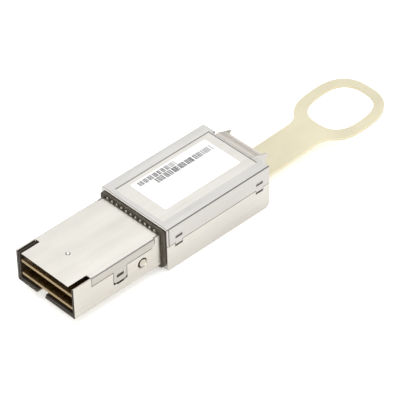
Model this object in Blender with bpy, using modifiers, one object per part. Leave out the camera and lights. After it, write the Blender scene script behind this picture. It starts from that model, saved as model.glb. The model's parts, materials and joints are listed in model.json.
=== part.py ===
"""Pluggable twelve-lane optical transceiver module with a pull tab, as an assembly.

The module lies along X: the plug nose at -X, the pull tab's ring at +X. It stands on the
rear body's bottom, Z = 0, and its box is centred on X = 0 and Y = 0.
"""

import math

import bmesh
import bpy
from mathutils import Matrix, Vector

MM = 0.001

# Driving sizes
NOSE_LENGTH = 29.9 * MM
NOSE_WIDTH = 22.0 * MM
NOSE_HEIGHT = 9.95 * MM
BODY_LENGTH = 37.1 * MM
SHOULDER_SIDE = 1.56 * MM  # how far the rear body stands out past the nose
SHOULDER_TOP = 1.83 * MM
SHOULDER_BOTTOM = 2.13 * MM
COLLAR_GAP = 1.0 * MM  # room for the gasket between nose and rear body
TAB_REACH = 51.4 * MM  # from the rear body to the ring's far end

# Sheet metal
NOSE_SHEET = 0.4 * MM
BODY_SHEET = 0.5 * MM
FIT = 0.1 * MM  # clearance between pieces that fit together
SEAM = 0.15 * MM  # open seam between a cover and its lower shell
BEND = 0.3 * MM  # outer radius of a folded edge
OVER = 1.0 * MM  # how far a cutter runs past the face that it opens

# Nose
TONGUE_WIDTH = 18.0 * MM  # the cover's front tongue, between the two corner slots
TONGUE_LENGTH = 6.3 * MM
NOSE_SEAM_RISE = 7.35 * MM  # the side seam above the nose's bottom
NOSE_COVER_STOP = 0.15 * MM  # from the cover's rear edge to the shell's rear edge
FLANGE_STOP = 1.8 * MM  # from the flange's rear end to the shell's rear edge
FLANGE_CLIP = 1.0 * MM  # clipped lower rear corner of the flange
NOSE_SNAP_FROM = 13.6 * MM  # snap tab, counted from the nose's front
NOSE_SNAP_WIDTH = 4.5 * MM
NOSE_SNAP_DROP = 4.0 * MM
NOSE_SNAP_CORNER = 0.9 * MM
NOSE_SNAP_SLOT_LENGTH = 2.4 * MM
NOSE_SNAP_SLOT_HEIGHT = 0.9 * MM
NOSE_SNAP_RELIEF = 0.4 * MM  # a window of the slot's length in the lower shell, under the tab
NOSE_SNAP_SLOT_DROP = 1.95 * MM  # the slot's middle, under the seam
KEY_WIDTH = 2.9 * MM
KEY_DEPTH = 2.3 * MM
KEY_OFFSET = 2.0 * MM
DIMPLE_FROM = 8.4 * MM
DIMPLE_OFFSET = 0.45 * MM
DIMPLE_RADIUS = 0.7 * MM
DIMPLE_DEPTH = 0.12 * MM

# Card guide, the dark plastic lining of the plug's mouth
GUIDE_WALL = 0.55 * MM
GUIDE_RECESS = 0.25 * MM
GUIDE_LENGTH = 20.0 * MM
RIB_FROM = 5.0 * MM
RIB_HEIGHT = 0.45 * MM
RIB_REACH = 0.9 * MM

# Paddle cards
CARD_THICKNESS = 0.9 * MM
CARD_RECESS = 0.5 * MM
CARD_SIDE_GAP = 0.3 * MM
CARD_GAP = 3.35 * MM  # clear height between the two cards
LOWER_CARD_RISE = 2.15 * MM  # the lower card's underside above the nose's bottom
CARD_PAST_LENS = 1.6 * MM  # how far the cards run past the lens blocks
CARD_REAR_INSET = 1.3 * MM  # the lower card is narrower behind the neck

# Frame, gasket and its toothed retainer
NECK_LENGTH = 3.0 * MM  # how far the frame's neck reaches into the nose
NECK_WALL = 0.7 * MM
FRAME_WALL = 1.0 * MM
FRAME_FLOOR = 0.5 * MM
FRAME_EDGE = 0.3 * MM
FRAME_TOP_GAP = 1.9 * MM  # from the cover's underside down to the frame's rim
LUG_REACH = 0.35 * MM
GASKET_INSET = 0.6 * MM  # all round, below the rear body's outline
GASKET_CORNER = 1.9 * MM
RETAINER_SHEET = 0.2 * MM
TOOTH_PITCH = 1.8 * MM
TOOTH_WIDTH = 0.8 * MM
TOOTH_HEIGHT = 0.9 * MM
TOOTH_COUNT = 11

# Rear shells
BODY_SEAM_HEIGHT = 8.05 * MM
REAR_CORNER = 1.8 * MM
FRONT_FLANGE_GAP = 0.25 * MM
SHOULDER_WIDTH = 4.4 * MM  # the cover's rear flanges, either side of the fibre port
SNAP_FRONT = 2.9 * MM  # snap slots, from the body's front and rear
SNAP_REAR = 2.6 * MM
SNAP_LENGTH = 2.4 * MM
SNAP_HEIGHT = 0.85 * MM
SNAP_RISE = 1.75 * MM  # the slot's middle above the seam
SNAP_DROP = 0.5 * MM  # the cover's tab below the seam
SNAP_RELIEF = 0.35 * MM  # and the lower shell's window under that
LABEL_LENGTH = 27.2 * MM
LABEL_WIDTH = 13.8 * MM
LABEL_OFFSET = 0.7 * MM
LABEL_SHEET = 0.08 * MM
LABEL_GAP = 0.03 * MM  # under the label
LABEL_CORNER = 0.5 * MM
LABEL_FROM_FRONT = 5.5 * MM
RECESS_AHEAD = 3.8 * MM  # the recess starts this far ahead of the label
RECESS_BEHIND = 0.3 * MM  # and ends this far ahead of the port's opening
RECESS_WIDTH = 18.6 * MM
RECESS_DEPTH = 0.15 * MM

# Latch
LATCH_FROM = 23.5 * MM  # the latch teeth's axis, from the nose's front
LATCH_BELOW_CARD = 1.8 * MM
LATCH_HOLE_RADIUS = 1.6 * MM
LATCH_HOLE_DROP = 0.2 * MM  # the hole's middle, below the tooth's axis
TOOTH_RADIUS = 1.1 * MM
LATCH_PROUD = 0.2 * MM
LATCH_TRAVEL = 0.9 * MM
PULL_TRAVEL = 3.0 * MM
TOOTH_LENGTH = 5.4 * MM
TOOTH_HEAD = 0.8 * MM
TOOTH_FLAT = 0.42 * MM  # the flat on the tooth's shank, above its axis
CAM_PIN_RADIUS = 0.4 * MM
CAM_PIN_IN = 2.7 * MM  # from the tooth's outer face to its cam pin
CAM_SLOT_PLAY = 0.12 * MM
YOKE_SHEET = 0.5 * MM
PLATE_FROM_FRONT = 6.0 * MM  # the yoke's plate, from the rear body's front and rear
PLATE_FROM_REAR = 7.5 * MM
PLATE_AHEAD = 3.0 * MM  # its wide part starts this far ahead of the strap
RISER_LENGTH = 8.0 * MM
ARM_OUTSET = 0.45 * MM  # from the neck's inner wall to the yoke's arm
CAM_TAB_FRONT = 4.6 * MM  # the cam tab reaches this far ahead of the tooth's axis
CAM_TAB_WIDTH = 3.05 * MM
CAM_TAB_SHEET = 0.4 * MM
CAM_TAB_ROOT = 1.5 * MM  # how far the cam tab overlaps its arm
SPACER_HALF_WIDTH = 6.2 * MM
SPACER_AHEAD = 9.3 * MM
SPACER_BEHIND = 4.7 * MM

# Pull tab
STRAP_WIDTH = 11.2 * MM
STRAP_THICKNESS = 0.9 * MM
STRAP_RISE = 1.8 * MM  # the strap's underside above the ground
STRAP_INSIDE = 14.0 * MM  # how far the strap runs into the rear body
TAB_LIFT = 2.35 * MM  # how far the ring's end has curved up
RING_LENGTH = 24.1 * MM
RING_WIDTH = 21.9 * MM
HOLE_LENGTH = 18.1 * MM
HOLE_WIDTH = 15.8 * MM
HOLE_FROM_END = 2.4 * MM
RING_POWER = 2.65  # superellipse exponent of the ring
RING_JOIN = math.radians(143)  # where the ring runs into the strap, from its far end
FILLET_RUN = 4.0 * MM
FILLET_LEAVE = 4.5 * MM  # pull of the fillet's tangents, at the ring and at the strap
FILLET_MEET = 4.5 * MM
RIVET_RADIUS = 0.8 * MM
RIVET_HEAD_RADIUS = 1.5 * MM
RIVET_CROWN_RADIUS = 1.2 * MM
RIVET_HEAD = 0.3 * MM
RIVET_LOWER_HEAD = 0.24 * MM
RIVET_SPREAD = 6.8 * MM
RIVET_FROM_END = 3.0 * MM
SPRING_RADIUS = 1.05 * MM
SPRING_WIRE = 0.2 * MM  # radius
SPRING_TURNS = 6
SPRING_LENGTH = 10.6 * MM
SPRING_SIDE_GAP = 0.6 * MM  # beside the shroud
SPRING_FLOOR_GAP = 0.5 * MM  # above the yoke's plate
SPRING_FROM_REAR = 4.5 * MM
SPRING_POST_RISE = 1.6 * MM

# Fibre port
PORT_WIDTH = 13.4 * MM
PORT_OUTSIDE = 2.0 * MM  # the housing's mouth, past the rear body
PORT_INSIDE = 15.5 * MM
PORT_FLOOR = 0.35 * MM
PORT_CLEARANCE = 1.25 * MM  # above the rivets' heads
PORT_TOP_GAP = 0.6 * MM
PORT_BROW = 0.4 * MM  # the wall over the socket's key slot, under the shroud's lip
SOCKET_WIDTH = 10.2 * MM
SOCKET_HEIGHT = 6.5 * MM
SOCKET_DEPTH = 10.0 * MM
SOCKET_KEY_WIDTH = 2.6 * MM
SOCKET_KEY_HEIGHT = 0.8 * MM
SHROUD_SHEET = 0.35 * MM
SHROUD_INSET = 2.0 * MM  # from the housing's inner end to the shroud's
SHROUD_OUTSIDE = 1.9 * MM  # the side plates' lower ends, past the mouth
SHROUD_CORNER_DROP = 3.2 * MM  # their upper rear corner, below the top
SHROUD_SHOULDER = 1.2 * MM  # their top edge slopes from here, past the rear face
SHROUD_SHOULDER_DROP = 0.45 * MM
TONGUE_OVERLAP = 1.2 * MM
LIP_RADIUS = 6.0 * MM
LIP_SHEET = 0.52 * MM
LIP_TURN = math.radians(52)
LIP_FROM_REAR = 1.0 * MM  # the lip's curve starts this far ahead of the rear face
EAR_REACH = 4.75 * MM  # the ears' tips, past the rear face
EAR_DROP = 1.6 * MM  # the ears' tips, below the top
FERRULE_WIDTH = 6.4 * MM
FERRULE_HEIGHT = 2.5 * MM
FERRULE_LENGTH = 10.0 * MM
FERRULE_IN_SOCKET = 1.4 * MM
PIN_RADIUS = 0.35 * MM
PIN_SPREAD = 4.6 * MM
PIN_LENGTH = 7.5 * MM
PIN_PROUD = 1.6 * MM
RIBBON_WIDTH = 3.1 * MM
RIBBON_SHEET = 0.32 * MM
RIBBON_RUN = 7.0 * MM
RIBBON_SPREAD = 0.9 * MM  # between the two ribbons at the ferrule

# Electronics
LENS_LENGTH = 4.4 * MM
LENS_WIDTH = 4.6 * MM
LENS_HEIGHT = 1.5 * MM
LENS_SLOPE = 1.05 * MM
CHIP_LENGTH = 4.0 * MM
CHIP_WIDTH = 6.0 * MM
CHIP_HEIGHT = 0.8 * MM
CHIP_GAP = 0.6 * MM  # from the chip to its lens block
CONTROLLER_SIZE = 5.0 * MM
LINK_LENGTH = 2.6 * MM
LINK_WIDTH = 9.0 * MM
LINK_FROM_FRONT = 0.6 * MM
SOLDER_GAP = 0.05 * MM
WELD = 0.01 * MM

# Places that follow from the sizes
TOTAL_LENGTH = NOSE_LENGTH + COLLAR_GAP + BODY_LENGTH + TAB_REACH
X_FRONT = -TOTAL_LENGTH / 2
X_NOSE_END = X_FRONT + NOSE_LENGTH
X_BODY = X_NOSE_END + COLLAR_GAP
X_REAR = X_BODY + BODY_LENGTH
X_TAB_END = X_REAR + TAB_REACH
Z_NOSE = SHOULDER_BOTTOM
Z_NOSE_TOP = Z_NOSE + NOSE_HEIGHT
Z_TOP = Z_NOSE_TOP + SHOULDER_TOP
Z_NOSE_SEAM = Z_NOSE + NOSE_SEAM_RISE
NOSE_Y = NOSE_WIDTH / 2
NOSE_IN_Y = NOSE_Y - NOSE_SHEET
BODY_Y = NOSE_Y + SHOULDER_SIDE
BODY_IN_Y = BODY_Y - BODY_SHEET
X_SHELL_END = X_NOSE_END - RETAINER_SHEET - FIT / 2
X_COVER_END = X_SHELL_END - NOSE_COVER_STOP
X_FLANGE_END = X_SHELL_END - FLANGE_STOP
X_FLANGE = X_FRONT + TONGUE_LENGTH
NECK_Y = NOSE_IN_Y - FIT
NECK_IN_Y = NECK_Y - NECK_WALL
Z_NECK = Z_NOSE + NOSE_SHEET + FIT
Z_NECK_TOP = Z_NOSE_TOP - NOSE_SHEET - FIT
X_NECK = X_SHELL_END - NECK_LENGTH
GUIDE_Y = NOSE_IN_Y - FIT
GUIDE_IN_Y = GUIDE_Y - GUIDE_WALL
CARD_Y = min(GUIDE_IN_Y, NECK_IN_Y) - CARD_SIDE_GAP / 2
Z_LOWER_CARD = Z_NOSE + LOWER_CARD_RISE
Z_LOWER_CARD_TOP = Z_LOWER_CARD + CARD_THICKNESS
Z_UPPER_CARD = Z_LOWER_CARD_TOP + CARD_GAP
Z_UPPER_CARD_TOP = Z_UPPER_CARD + CARD_THICKNESS
X_CARD = X_FRONT + CARD_RECESS
FRAME_Y = BODY_IN_Y - FIT
FRAME_IN_Y = FRAME_Y - FRAME_WALL
Z_FRAME = BODY_SHEET + FIT
Z_FRAME_FLOOR = Z_FRAME + FRAME_FLOOR
Z_COVER_SEAM = BODY_SEAM_HEIGHT + SEAM
Z_COVER_UNDER = Z_TOP - BODY_SHEET
Z_FRAME_RIM = Z_COVER_UNDER - FRAME_TOP_GAP
Z_SNAP = Z_COVER_SEAM + SNAP_RISE
X_LATCH = X_FRONT + LATCH_FROM
Z_LATCH = Z_UPPER_CARD - LATCH_BELOW_CARD
Z_CAM_TAB = Z_LATCH + TOOTH_FLAT + 2 * FIT
Z_CAM_TAB_TOP = Z_CAM_TAB + CAM_TAB_SHEET
Z_STRAP_TOP = STRAP_RISE + STRAP_THICKNESS
Z_YOKE = STRAP_RISE - FIT - YOKE_SHEET
X_STRAP = X_REAR - STRAP_INSIDE
X_RIVET = X_STRAP + RIVET_FROM_END
Z_PORT = Z_STRAP_TOP + RIVET_HEAD + PORT_CLEARANCE
Z_PORT_TOP = Z_COVER_UNDER - PORT_TOP_GAP
PORT_Y = PORT_WIDTH / 2
SHROUD_IN_Y = PORT_Y + FIT
SHROUD_Y = SHROUD_IN_Y + SHROUD_SHEET
PORT_OPENING_Y = SHROUD_Y + 2.5 * FIT
X_PORT = X_REAR - PORT_INSIDE
X_MOUTH = X_REAR + PORT_OUTSIDE
X_SOCKET = X_MOUTH - SOCKET_DEPTH
X_FERRULE_END = X_SOCKET + FERRULE_IN_SOCKET
X_FERRULE = X_FERRULE_END - FERRULE_LENGTH
X_RIBBON = X_FERRULE - SOLDER_GAP  # the ribbons start here and run forwards
X_LENS_END = X_RIBBON - RIBBON_RUN - SOLDER_GAP
X_CARD_END = X_LENS_END + CARD_PAST_LENS
Z_SOCKET = Z_PORT + PORT_FLOOR
Z_PORT_AXIS = Z_SOCKET + SOCKET_HEIGHT / 2
X_LIP = X_REAR - LIP_FROM_REAR
STRAP_SLOT_Y = STRAP_WIDTH / 2 + 4 * FIT
Z_STRAP_SLOT = STRAP_RISE - 3 * FIT
Z_STRAP_SLOT_TOP = Z_STRAP_TOP + 3 * FIT

COLOURS = {
    "nose_sheet": ("E6E2DA", 1.0, 0.28),
    "body_sheet": ("DDD9CF", 1.0, 0.3),
    "die_cast_zinc": ("8E8E8C", 1.0, 0.45),
    "dark_plastic": ("2A231B", 0.0, 0.5),
    "gasket_foam": ("4B453C", 0.0, 0.85),
    "retainer_sheet": ("C9C5BA", 1.0, 0.35),
    "label_paper": ("FBFBFA", 0.0, 0.55),
    "circuit_board": ("4A4227", 0.0, 0.45),
    "latch_steel": ("B9B6AF", 1.0, 0.35),
    "spring_steel": ("A9A9A7", 1.0, 0.3),
    "ivory_plastic": ("E4DFC6", 0.0, 0.4),
    "rivet_steel": ("B4B2AC", 1.0, 0.35),
    "shroud_sheet": ("D8CFC6", 1.0, 0.3),
    "port_plastic": ("23211F", 0.0, 0.45),
    "ferrule_plastic": ("4A4A48", 0.0, 0.5),
    "pin_steel": ("C8C8C6", 1.0, 0.2),
    "ribbon_acrylate": ("7FB6C9", 0.0, 0.35),
    "lens_polymer": ("B98A45", 0.0, 0.15),
    "chip_epoxy": ("1D1D1F", 0.0, 0.5),
    "thermal_pad": ("8FA3B3", 0.0, 0.8),
}


def empty_the_scene():
    for thing in list(bpy.data.objects):
        bpy.data.objects.remove(thing, do_unlink=True)


def new_collection(name):
    collection = bpy.data.collections.new(name)
    bpy.context.scene.collection.children.link(collection)
    return collection


empty_the_scene()
PARTS = new_collection("optical_transceiver_module")
CUTTERS = new_collection("cutters")


def linear(channel):
    value = channel / 255
    return value / 12.92 if value <= 0.04045 else ((value + 0.055) / 1.055) ** 2.4


def material(name):
    """The named finish, made once, from its sRGB hex colour, metallic and roughness values."""
    if name in bpy.data.materials:
        return bpy.data.materials[name]
    code, metallic, roughness = COLOURS[name]
    made = bpy.data.materials.new(name)
    made.use_nodes = True
    shader = made.node_tree.nodes["Principled BSDF"]
    channels = [linear(int(code[i : i + 2], 16)) for i in (0, 2, 4)]
    shader.inputs["Base Color"].default_value = (*channels, 1.0)
    shader.inputs["Metallic"].default_value = metallic
    shader.inputs["Roughness"].default_value = roughness
    return made


def keep(name, bm, finish):
    """The finished mesh as an object: a part with its finish or, with no finish, a cutter."""
    mesh = bpy.data.meshes.new(name)
    bmesh.ops.recalc_face_normals(bm, faces=bm.faces)
    bm.to_mesh(mesh)
    bm.free()
    made = bpy.data.objects.new(name, mesh)
    if finish:
        PARTS.objects.link(made)
        mesh.materials.append(material(finish))
        mesh.shade_smooth()
        mesh.set_sharp_from_angle(angle=math.radians(30))
    else:
        CUTTERS.objects.link(made)
        made.hide_render = True
        made.display_type = "WIRE"
    return made


def block(name, x, y, z, finish=None):
    """A block between pairs of limits."""
    bm = bmesh.new()
    bmesh.ops.create_cube(bm, size=1.0)
    low = Vector((x[0], y[0], z[0]))
    high = Vector((x[1], y[1], z[1]))
    bmesh.ops.scale(bm, vec=high - low, verts=bm.verts)
    bmesh.ops.translate(bm, vec=(low + high) / 2, verts=bm.verts)
    return keep(name, bm, finish)


def rod(name, axis, start, end, at, radius, finish=None, sides=20):
    """A cylinder along an axis from start to end; at gives the two other coordinates in order."""
    bm = bmesh.new()
    bmesh.ops.create_cone(
        bm,
        cap_ends=True,
        segments=sides,
        radius1=radius,
        radius2=radius,
        depth=end - start,
    )
    turns = {"x": (math.pi / 2, "Y"), "y": (math.pi / 2, "X"), "z": (0.0, "Z")}
    angle, about = turns[axis]
    bmesh.ops.transform(bm, matrix=Matrix.Rotation(angle, 4, about), verts=bm.verts)
    centre = list(at)
    centre.insert("xyz".index(axis), (start + end) / 2)
    bmesh.ops.translate(bm, vec=centre, verts=bm.verts)
    return keep(name, bm, finish)


# How an outline's two coordinates and its thickness lie in the world
PLANES = {
    "XY": Matrix(((1, 0, 0), (0, 1, 0), (0, 0, 1))),
    "XZ": Matrix(((1, 0, 0), (0, 0, 1), (0, 1, 0))),
    "YZ": Matrix(((0, 0, 1), (1, 0, 0), (0, 1, 0))),
}


def outline_mesh(name, plane, outlines, span):
    """A flat outline, with any holes, filled as a 2D curve and extruded across span."""
    curve = bpy.data.curves.new(name, "CURVE")
    curve.dimensions = "2D"
    curve.fill_mode = "BOTH"
    curve.extrude = (span[1] - span[0]) / 2
    for points in outlines:
        spline = curve.splines.new("POLY")
        spline.points.add(len(points) - 1)
        for point, place in zip(spline.points, points):
            point.co = (place[0], place[1], 0.0, 1.0)
        spline.use_cyclic_u = True
    guide = bpy.data.objects.new(name, curve)
    bpy.context.scene.collection.objects.link(guide)
    graph = bpy.context.evaluated_depsgraph_get()
    mesh = bpy.data.meshes.new_from_object(guide.evaluated_get(graph))
    bpy.data.objects.remove(guide)
    bm = bmesh.new()
    bm.from_mesh(mesh)
    bpy.data.meshes.remove(mesh)
    bmesh.ops.remove_doubles(bm, verts=bm.verts, dist=1e-7)
    bmesh.ops.dissolve_limit(bm, angle_limit=math.radians(1), verts=bm.verts, edges=bm.edges)
    bmesh.ops.translate(bm, vec=(0, 0, (span[0] + span[1]) / 2), verts=bm.verts)
    bmesh.ops.transform(bm, matrix=PLANES[plane].to_4x4(), verts=bm.verts)
    return bm


def profile(name, plane, outlines, span, finish=None):
    return keep(name, outline_mesh(name, plane, outlines, span), finish)


def rounded(corners, steps=3):
    """Points of a closed outline; each corner is (u, v, radius)."""
    points = []
    for i, (u, v, radius) in enumerate(corners):
        here = Vector((u, v))
        if radius == 0:
            points.append(here)
            continue
        back = (Vector(corners[i - 1][:2]) - here).normalized()
        ahead = (Vector(corners[(i + 1) % len(corners)][:2]) - here).normalized()
        half = back.angle(ahead) / 2
        centre = here + (back + ahead).normalized() * radius / math.sin(half)
        start = here + back * radius / math.tan(half) - centre
        end = here + ahead * radius / math.tan(half) - centre
        turn = math.atan2(start.cross(end), start.dot(end))
        for k in range(steps + 1):
            points.append(centre + Matrix.Rotation(turn * k / steps, 2) @ start)
    return points


def rectangle(u, v, radius=0.0, steps=3):
    corners = [(u[0], v[0], radius), (u[1], v[0], radius), (u[1], v[1], radius), (u[0], v[1], radius)]
    return rounded(corners, steps)


def channel(half, low, high, sheet, bend):
    """Section of a folded channel, open at the high end; low may be above high, for a lid."""
    sign = 1 if high > low else -1
    inner = half - sheet
    inner_bend = max(bend - sheet, 0.0)
    return rounded(
        [
            (-half, low, bend),
            (half, low, bend),
            (half, high, 0),
            (inner, high, 0),
            (inner, low + sign * sheet, inner_bend),
            (-inner, low + sign * sheet, inner_bend),
            (-inner, high, 0),
            (-half, high, 0),
        ]
    )


def tray_solid(name, side_outline, half, bend, open_z, finish=None):
    """An XZ outline run across the width, its sharp edges rounded except round the open face."""
    bm = outline_mesh(name, "XZ", [side_outline], (-half, half))
    bmesh.ops.recalc_face_normals(bm, faces=bm.faces)
    sharp = [
        edge
        for edge in bm.edges
        if edge.calc_face_angle() > math.radians(60)
        and not all(abs(v.co.z - open_z) < 1e-8 for v in edge.verts)
    ]
    if bend > 0:
        bmesh.ops.bevel(bm, geom=sharp, offset=bend, segments=3, profile=0.5, affect="EDGES")
    return keep(name, bm, finish)


def boolean(target, tool, operation):
    made = target.modifiers.new(tool.name, "BOOLEAN")
    made.operation = operation
    made.solver = "EXACT"
    made.object = tool


def cut(target, *tools):
    for tool in tools:
        boolean(target, tool, "DIFFERENCE")


def add(target, *tools):
    for tool in tools:
        boolean(target, tool, "UNION")


def both_sides(y):
    """The limits of a block at +Y and of its mirror image at -Y."""
    return (("left", y), ("right", (-y[1], -y[0])))


# Plug nose


def make_nose_lower_shell():
    section = channel(NOSE_Y, Z_NOSE, Z_NOSE_TOP, NOSE_SHEET, BEND)
    shell = profile("nose_lower_shell", "YZ", [section], (X_FRONT, X_SHELL_END), "nose_sheet")
    flange = (X_FLANGE - SEAM, X_FLANGE_END + SEAM)
    snap = (X_FRONT + NOSE_SNAP_FROM - SEAM, X_FRONT + NOSE_SNAP_FROM + NOSE_SNAP_WIDTH + SEAM)
    middle = X_FRONT + NOSE_SNAP_FROM + NOSE_SNAP_WIDTH / 2
    slot = (middle - NOSE_SNAP_SLOT_LENGTH / 2, middle + NOSE_SNAP_SLOT_LENGTH / 2)
    seat = Z_NOSE_SEAM - SEAM
    across = (NOSE_IN_Y - OVER, NOSE_Y + OVER)
    hole = (X_LATCH, Z_LATCH - LATCH_HOLE_DROP)
    for side, y in both_sides(across):
        clip = FLANGE_CLIP + SEAM
        points = [
            (flange[0], Z_NOSE_TOP + OVER),
            (flange[0], seat),
            (flange[1] - clip, seat),
            (flange[1], seat + clip),
            (flange[1], Z_NOSE_TOP + OVER),
        ]
        cut(shell, profile("shell_flange_cut_" + side, "XZ", [points], y))
        notch = (seat - NOSE_SNAP_DROP - SEAM, seat + OVER)
        cut(shell, block("shell_snap_cut_" + side, snap, y, notch))
        relief = (notch[0] - NOSE_SNAP_RELIEF, notch[1])
        cut(shell, block("shell_snap_relief_" + side, slot, y, relief))
        cut(shell, rod("latch_hole_" + side, "y", *y, hole, LATCH_HOLE_RADIUS))
    key_y = (KEY_OFFSET - KEY_WIDTH / 2, KEY_OFFSET + KEY_WIDTH / 2)
    key_z = (Z_NOSE - OVER, Z_NOSE + NOSE_SHEET + OVER / 2)
    cut(shell, block("shell_key_cut", (X_FRONT - OVER, X_FRONT + KEY_DEPTH), key_y, key_z))


def make_nose_top_cover():
    section = channel(NOSE_Y, Z_NOSE_TOP, Z_NOSE_SEAM, NOSE_SHEET, BEND)
    cover = profile("nose_top_cover", "YZ", [section], (X_FRONT, X_COVER_END), "nose_sheet")
    snap = X_FRONT + NOSE_SNAP_FROM
    slot = snap + NOSE_SNAP_WIDTH / 2
    tongue = TONGUE_WIDTH / 2
    above = (Z_NOSE_SEAM - NOSE_SNAP_DROP - OVER, Z_NOSE_TOP + OVER)
    for side, y in both_sides((tongue, NOSE_Y + OVER)):
        cut(cover, block("corner_slot_" + side, (X_FRONT - OVER, X_FLANGE), y, above))
    for side, y in both_sides((NOSE_IN_Y - 2 * FIT, NOSE_Y + OVER)):
        cut(cover, block("cover_rear_cut_" + side, (X_FLANGE_END, X_COVER_END + OVER), y, above))
    for side, y in both_sides((NOSE_IN_Y - OVER, NOSE_Y + OVER)):
        corner = [
            (X_FLANGE_END - FLANGE_CLIP, Z_NOSE_SEAM),
            (X_FLANGE_END + OVER, Z_NOSE_SEAM - OVER),
            (X_FLANGE_END, Z_NOSE_SEAM + FLANGE_CLIP),
        ]
        cut(cover, profile("cover_clip_" + side, "XZ", [corner], y))
    for side, y in both_sides((NOSE_IN_Y, NOSE_Y)):
        low = Z_NOSE_SEAM - NOSE_SNAP_DROP
        corners = [
            (snap, Z_NOSE_SEAM + OVER, 0),
            (snap, low, NOSE_SNAP_CORNER),
            (snap + NOSE_SNAP_WIDTH, low, NOSE_SNAP_CORNER),
            (snap + NOSE_SNAP_WIDTH, Z_NOSE_SEAM + OVER, 0),
        ]
        add(cover, profile("cover_snap_tab_" + side, "XZ", [rounded(corners)], y))
    for side, y in both_sides((NOSE_IN_Y - OVER, NOSE_Y + OVER)):
        x = (slot - NOSE_SNAP_SLOT_LENGTH / 2, slot + NOSE_SNAP_SLOT_LENGTH / 2)
        middle = Z_NOSE_SEAM - NOSE_SNAP_SLOT_DROP
        z = (middle - NOSE_SNAP_SLOT_HEIGHT / 2, middle + NOSE_SNAP_SLOT_HEIGHT / 2)
        cut(cover, block("cover_snap_slot_" + side, x, y, z))
    dimple = (X_FRONT + DIMPLE_FROM, DIMPLE_OFFSET)
    z = (Z_NOSE_TOP - DIMPLE_DEPTH, Z_NOSE_TOP + OVER)
    cut(cover, rod("dimple", "z", *z, dimple, DIMPLE_RADIUS, sides=16))


def make_card_guide():
    x = (X_FRONT + GUIDE_RECESS, X_FRONT + GUIDE_LENGTH)
    low = Z_NOSE + NOSE_SHEET + FIT
    high = Z_NOSE_TOP - NOSE_SHEET - FIT
    corners = [
        (-GUIDE_Y, low),
        (GUIDE_Y, low),
        (GUIDE_Y, high),
        (GUIDE_IN_Y, high),
        (GUIDE_IN_Y, low + GUIDE_WALL),
        (-GUIDE_IN_Y, low + GUIDE_WALL),
        (-GUIDE_IN_Y, high),
        (-GUIDE_Y, high),
    ]
    guide = profile("card_guide", "YZ", [corners], x, "dark_plastic")
    ribs_x = (X_FRONT + RIB_FROM, min(x[1], X_LATCH - CAM_TAB_FRONT) - 3 * FIT)
    levels = (
        (Z_LOWER_CARD - FIT - RIB_HEIGHT, Z_LOWER_CARD - FIT),
        (Z_LOWER_CARD_TOP + FIT, Z_LOWER_CARD_TOP + FIT + RIB_HEIGHT),
        (Z_UPPER_CARD - FIT - RIB_HEIGHT, Z_UPPER_CARD - FIT),
        (Z_UPPER_CARD_TOP + FIT, Z_UPPER_CARD_TOP + FIT + RIB_HEIGHT),
    )
    for side, y in both_sides((GUIDE_IN_Y - RIB_REACH, GUIDE_IN_Y + GUIDE_WALL / 2)):
        for number, z in enumerate(levels):
            add(guide, block(f"guide_rib_{side}_{number}", ribs_x, y, z))
    middle = X_FRONT + NOSE_SNAP_FROM + NOSE_SNAP_WIDTH / 2
    half = NOSE_SNAP_SLOT_LENGTH / 2 - FIT
    lug_z = Z_NOSE_SEAM - NOSE_SNAP_SLOT_DROP
    z = (lug_z - NOSE_SNAP_SLOT_HEIGHT / 2 + FIT, lug_z + FIT)
    for side, y in both_sides((GUIDE_Y - GUIDE_WALL / 2, GUIDE_Y + LUG_REACH)):
        add(guide, block("guide_lug_" + side, (middle - half, middle + half), y, z))
    key_y = (KEY_OFFSET - KEY_WIDTH / 2, KEY_OFFSET + KEY_WIDTH / 2)
    key_z = (low - OVER, low + GUIDE_WALL + OVER / 2)
    cut(guide, block("guide_key_cut", (X_FRONT - OVER, X_FRONT + KEY_DEPTH), key_y, key_z))


def make_paddle_cards():
    plain = rectangle((X_CARD, X_CARD_END), (-CARD_Y, CARD_Y))
    step = X_NECK - FIT
    inner = CARD_Y - CARD_REAR_INSET
    stepped = [
        (X_CARD, -CARD_Y),
        (step, -CARD_Y),
        (step, -inner),
        (X_CARD_END, -inner),
        (X_CARD_END, inner),
        (step, inner),
        (step, CARD_Y),
        (X_CARD, CARD_Y),
    ]
    upper = (Z_UPPER_CARD, Z_UPPER_CARD_TOP)
    profile("upper_paddle_card", "XY", [plain], upper, "circuit_board")
    lower = (Z_LOWER_CARD, Z_LOWER_CARD_TOP)
    profile("lower_paddle_card", "XY", [stepped], lower, "circuit_board")


def make_card_spacer():
    x = (X_LATCH - SPACER_AHEAD, X_LATCH + SPACER_BEHIND)
    y = (-SPACER_HALF_WIDTH, SPACER_HALF_WIDTH)
    z = (Z_LOWER_CARD_TOP + FIT, Z_UPPER_CARD - FIT)
    spacer = block("card_spacer", x, y, z, "dark_plastic")
    inner_end = NOSE_Y + LATCH_PROUD - TOOTH_LENGTH - LATCH_TRAVEL - 2 * FIT
    grip = TOOTH_RADIUS + FIT
    for side, y in both_sides((inner_end, SPACER_HALF_WIDTH + OVER)):
        z = (Z_LATCH - grip, Z_LATCH + TOOTH_FLAT + FIT)
        cut(spacer, block("tooth_channel_" + side, (X_LATCH - grip, X_LATCH + grip), y, z))


# Gasket, its retainer and the frame


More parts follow.
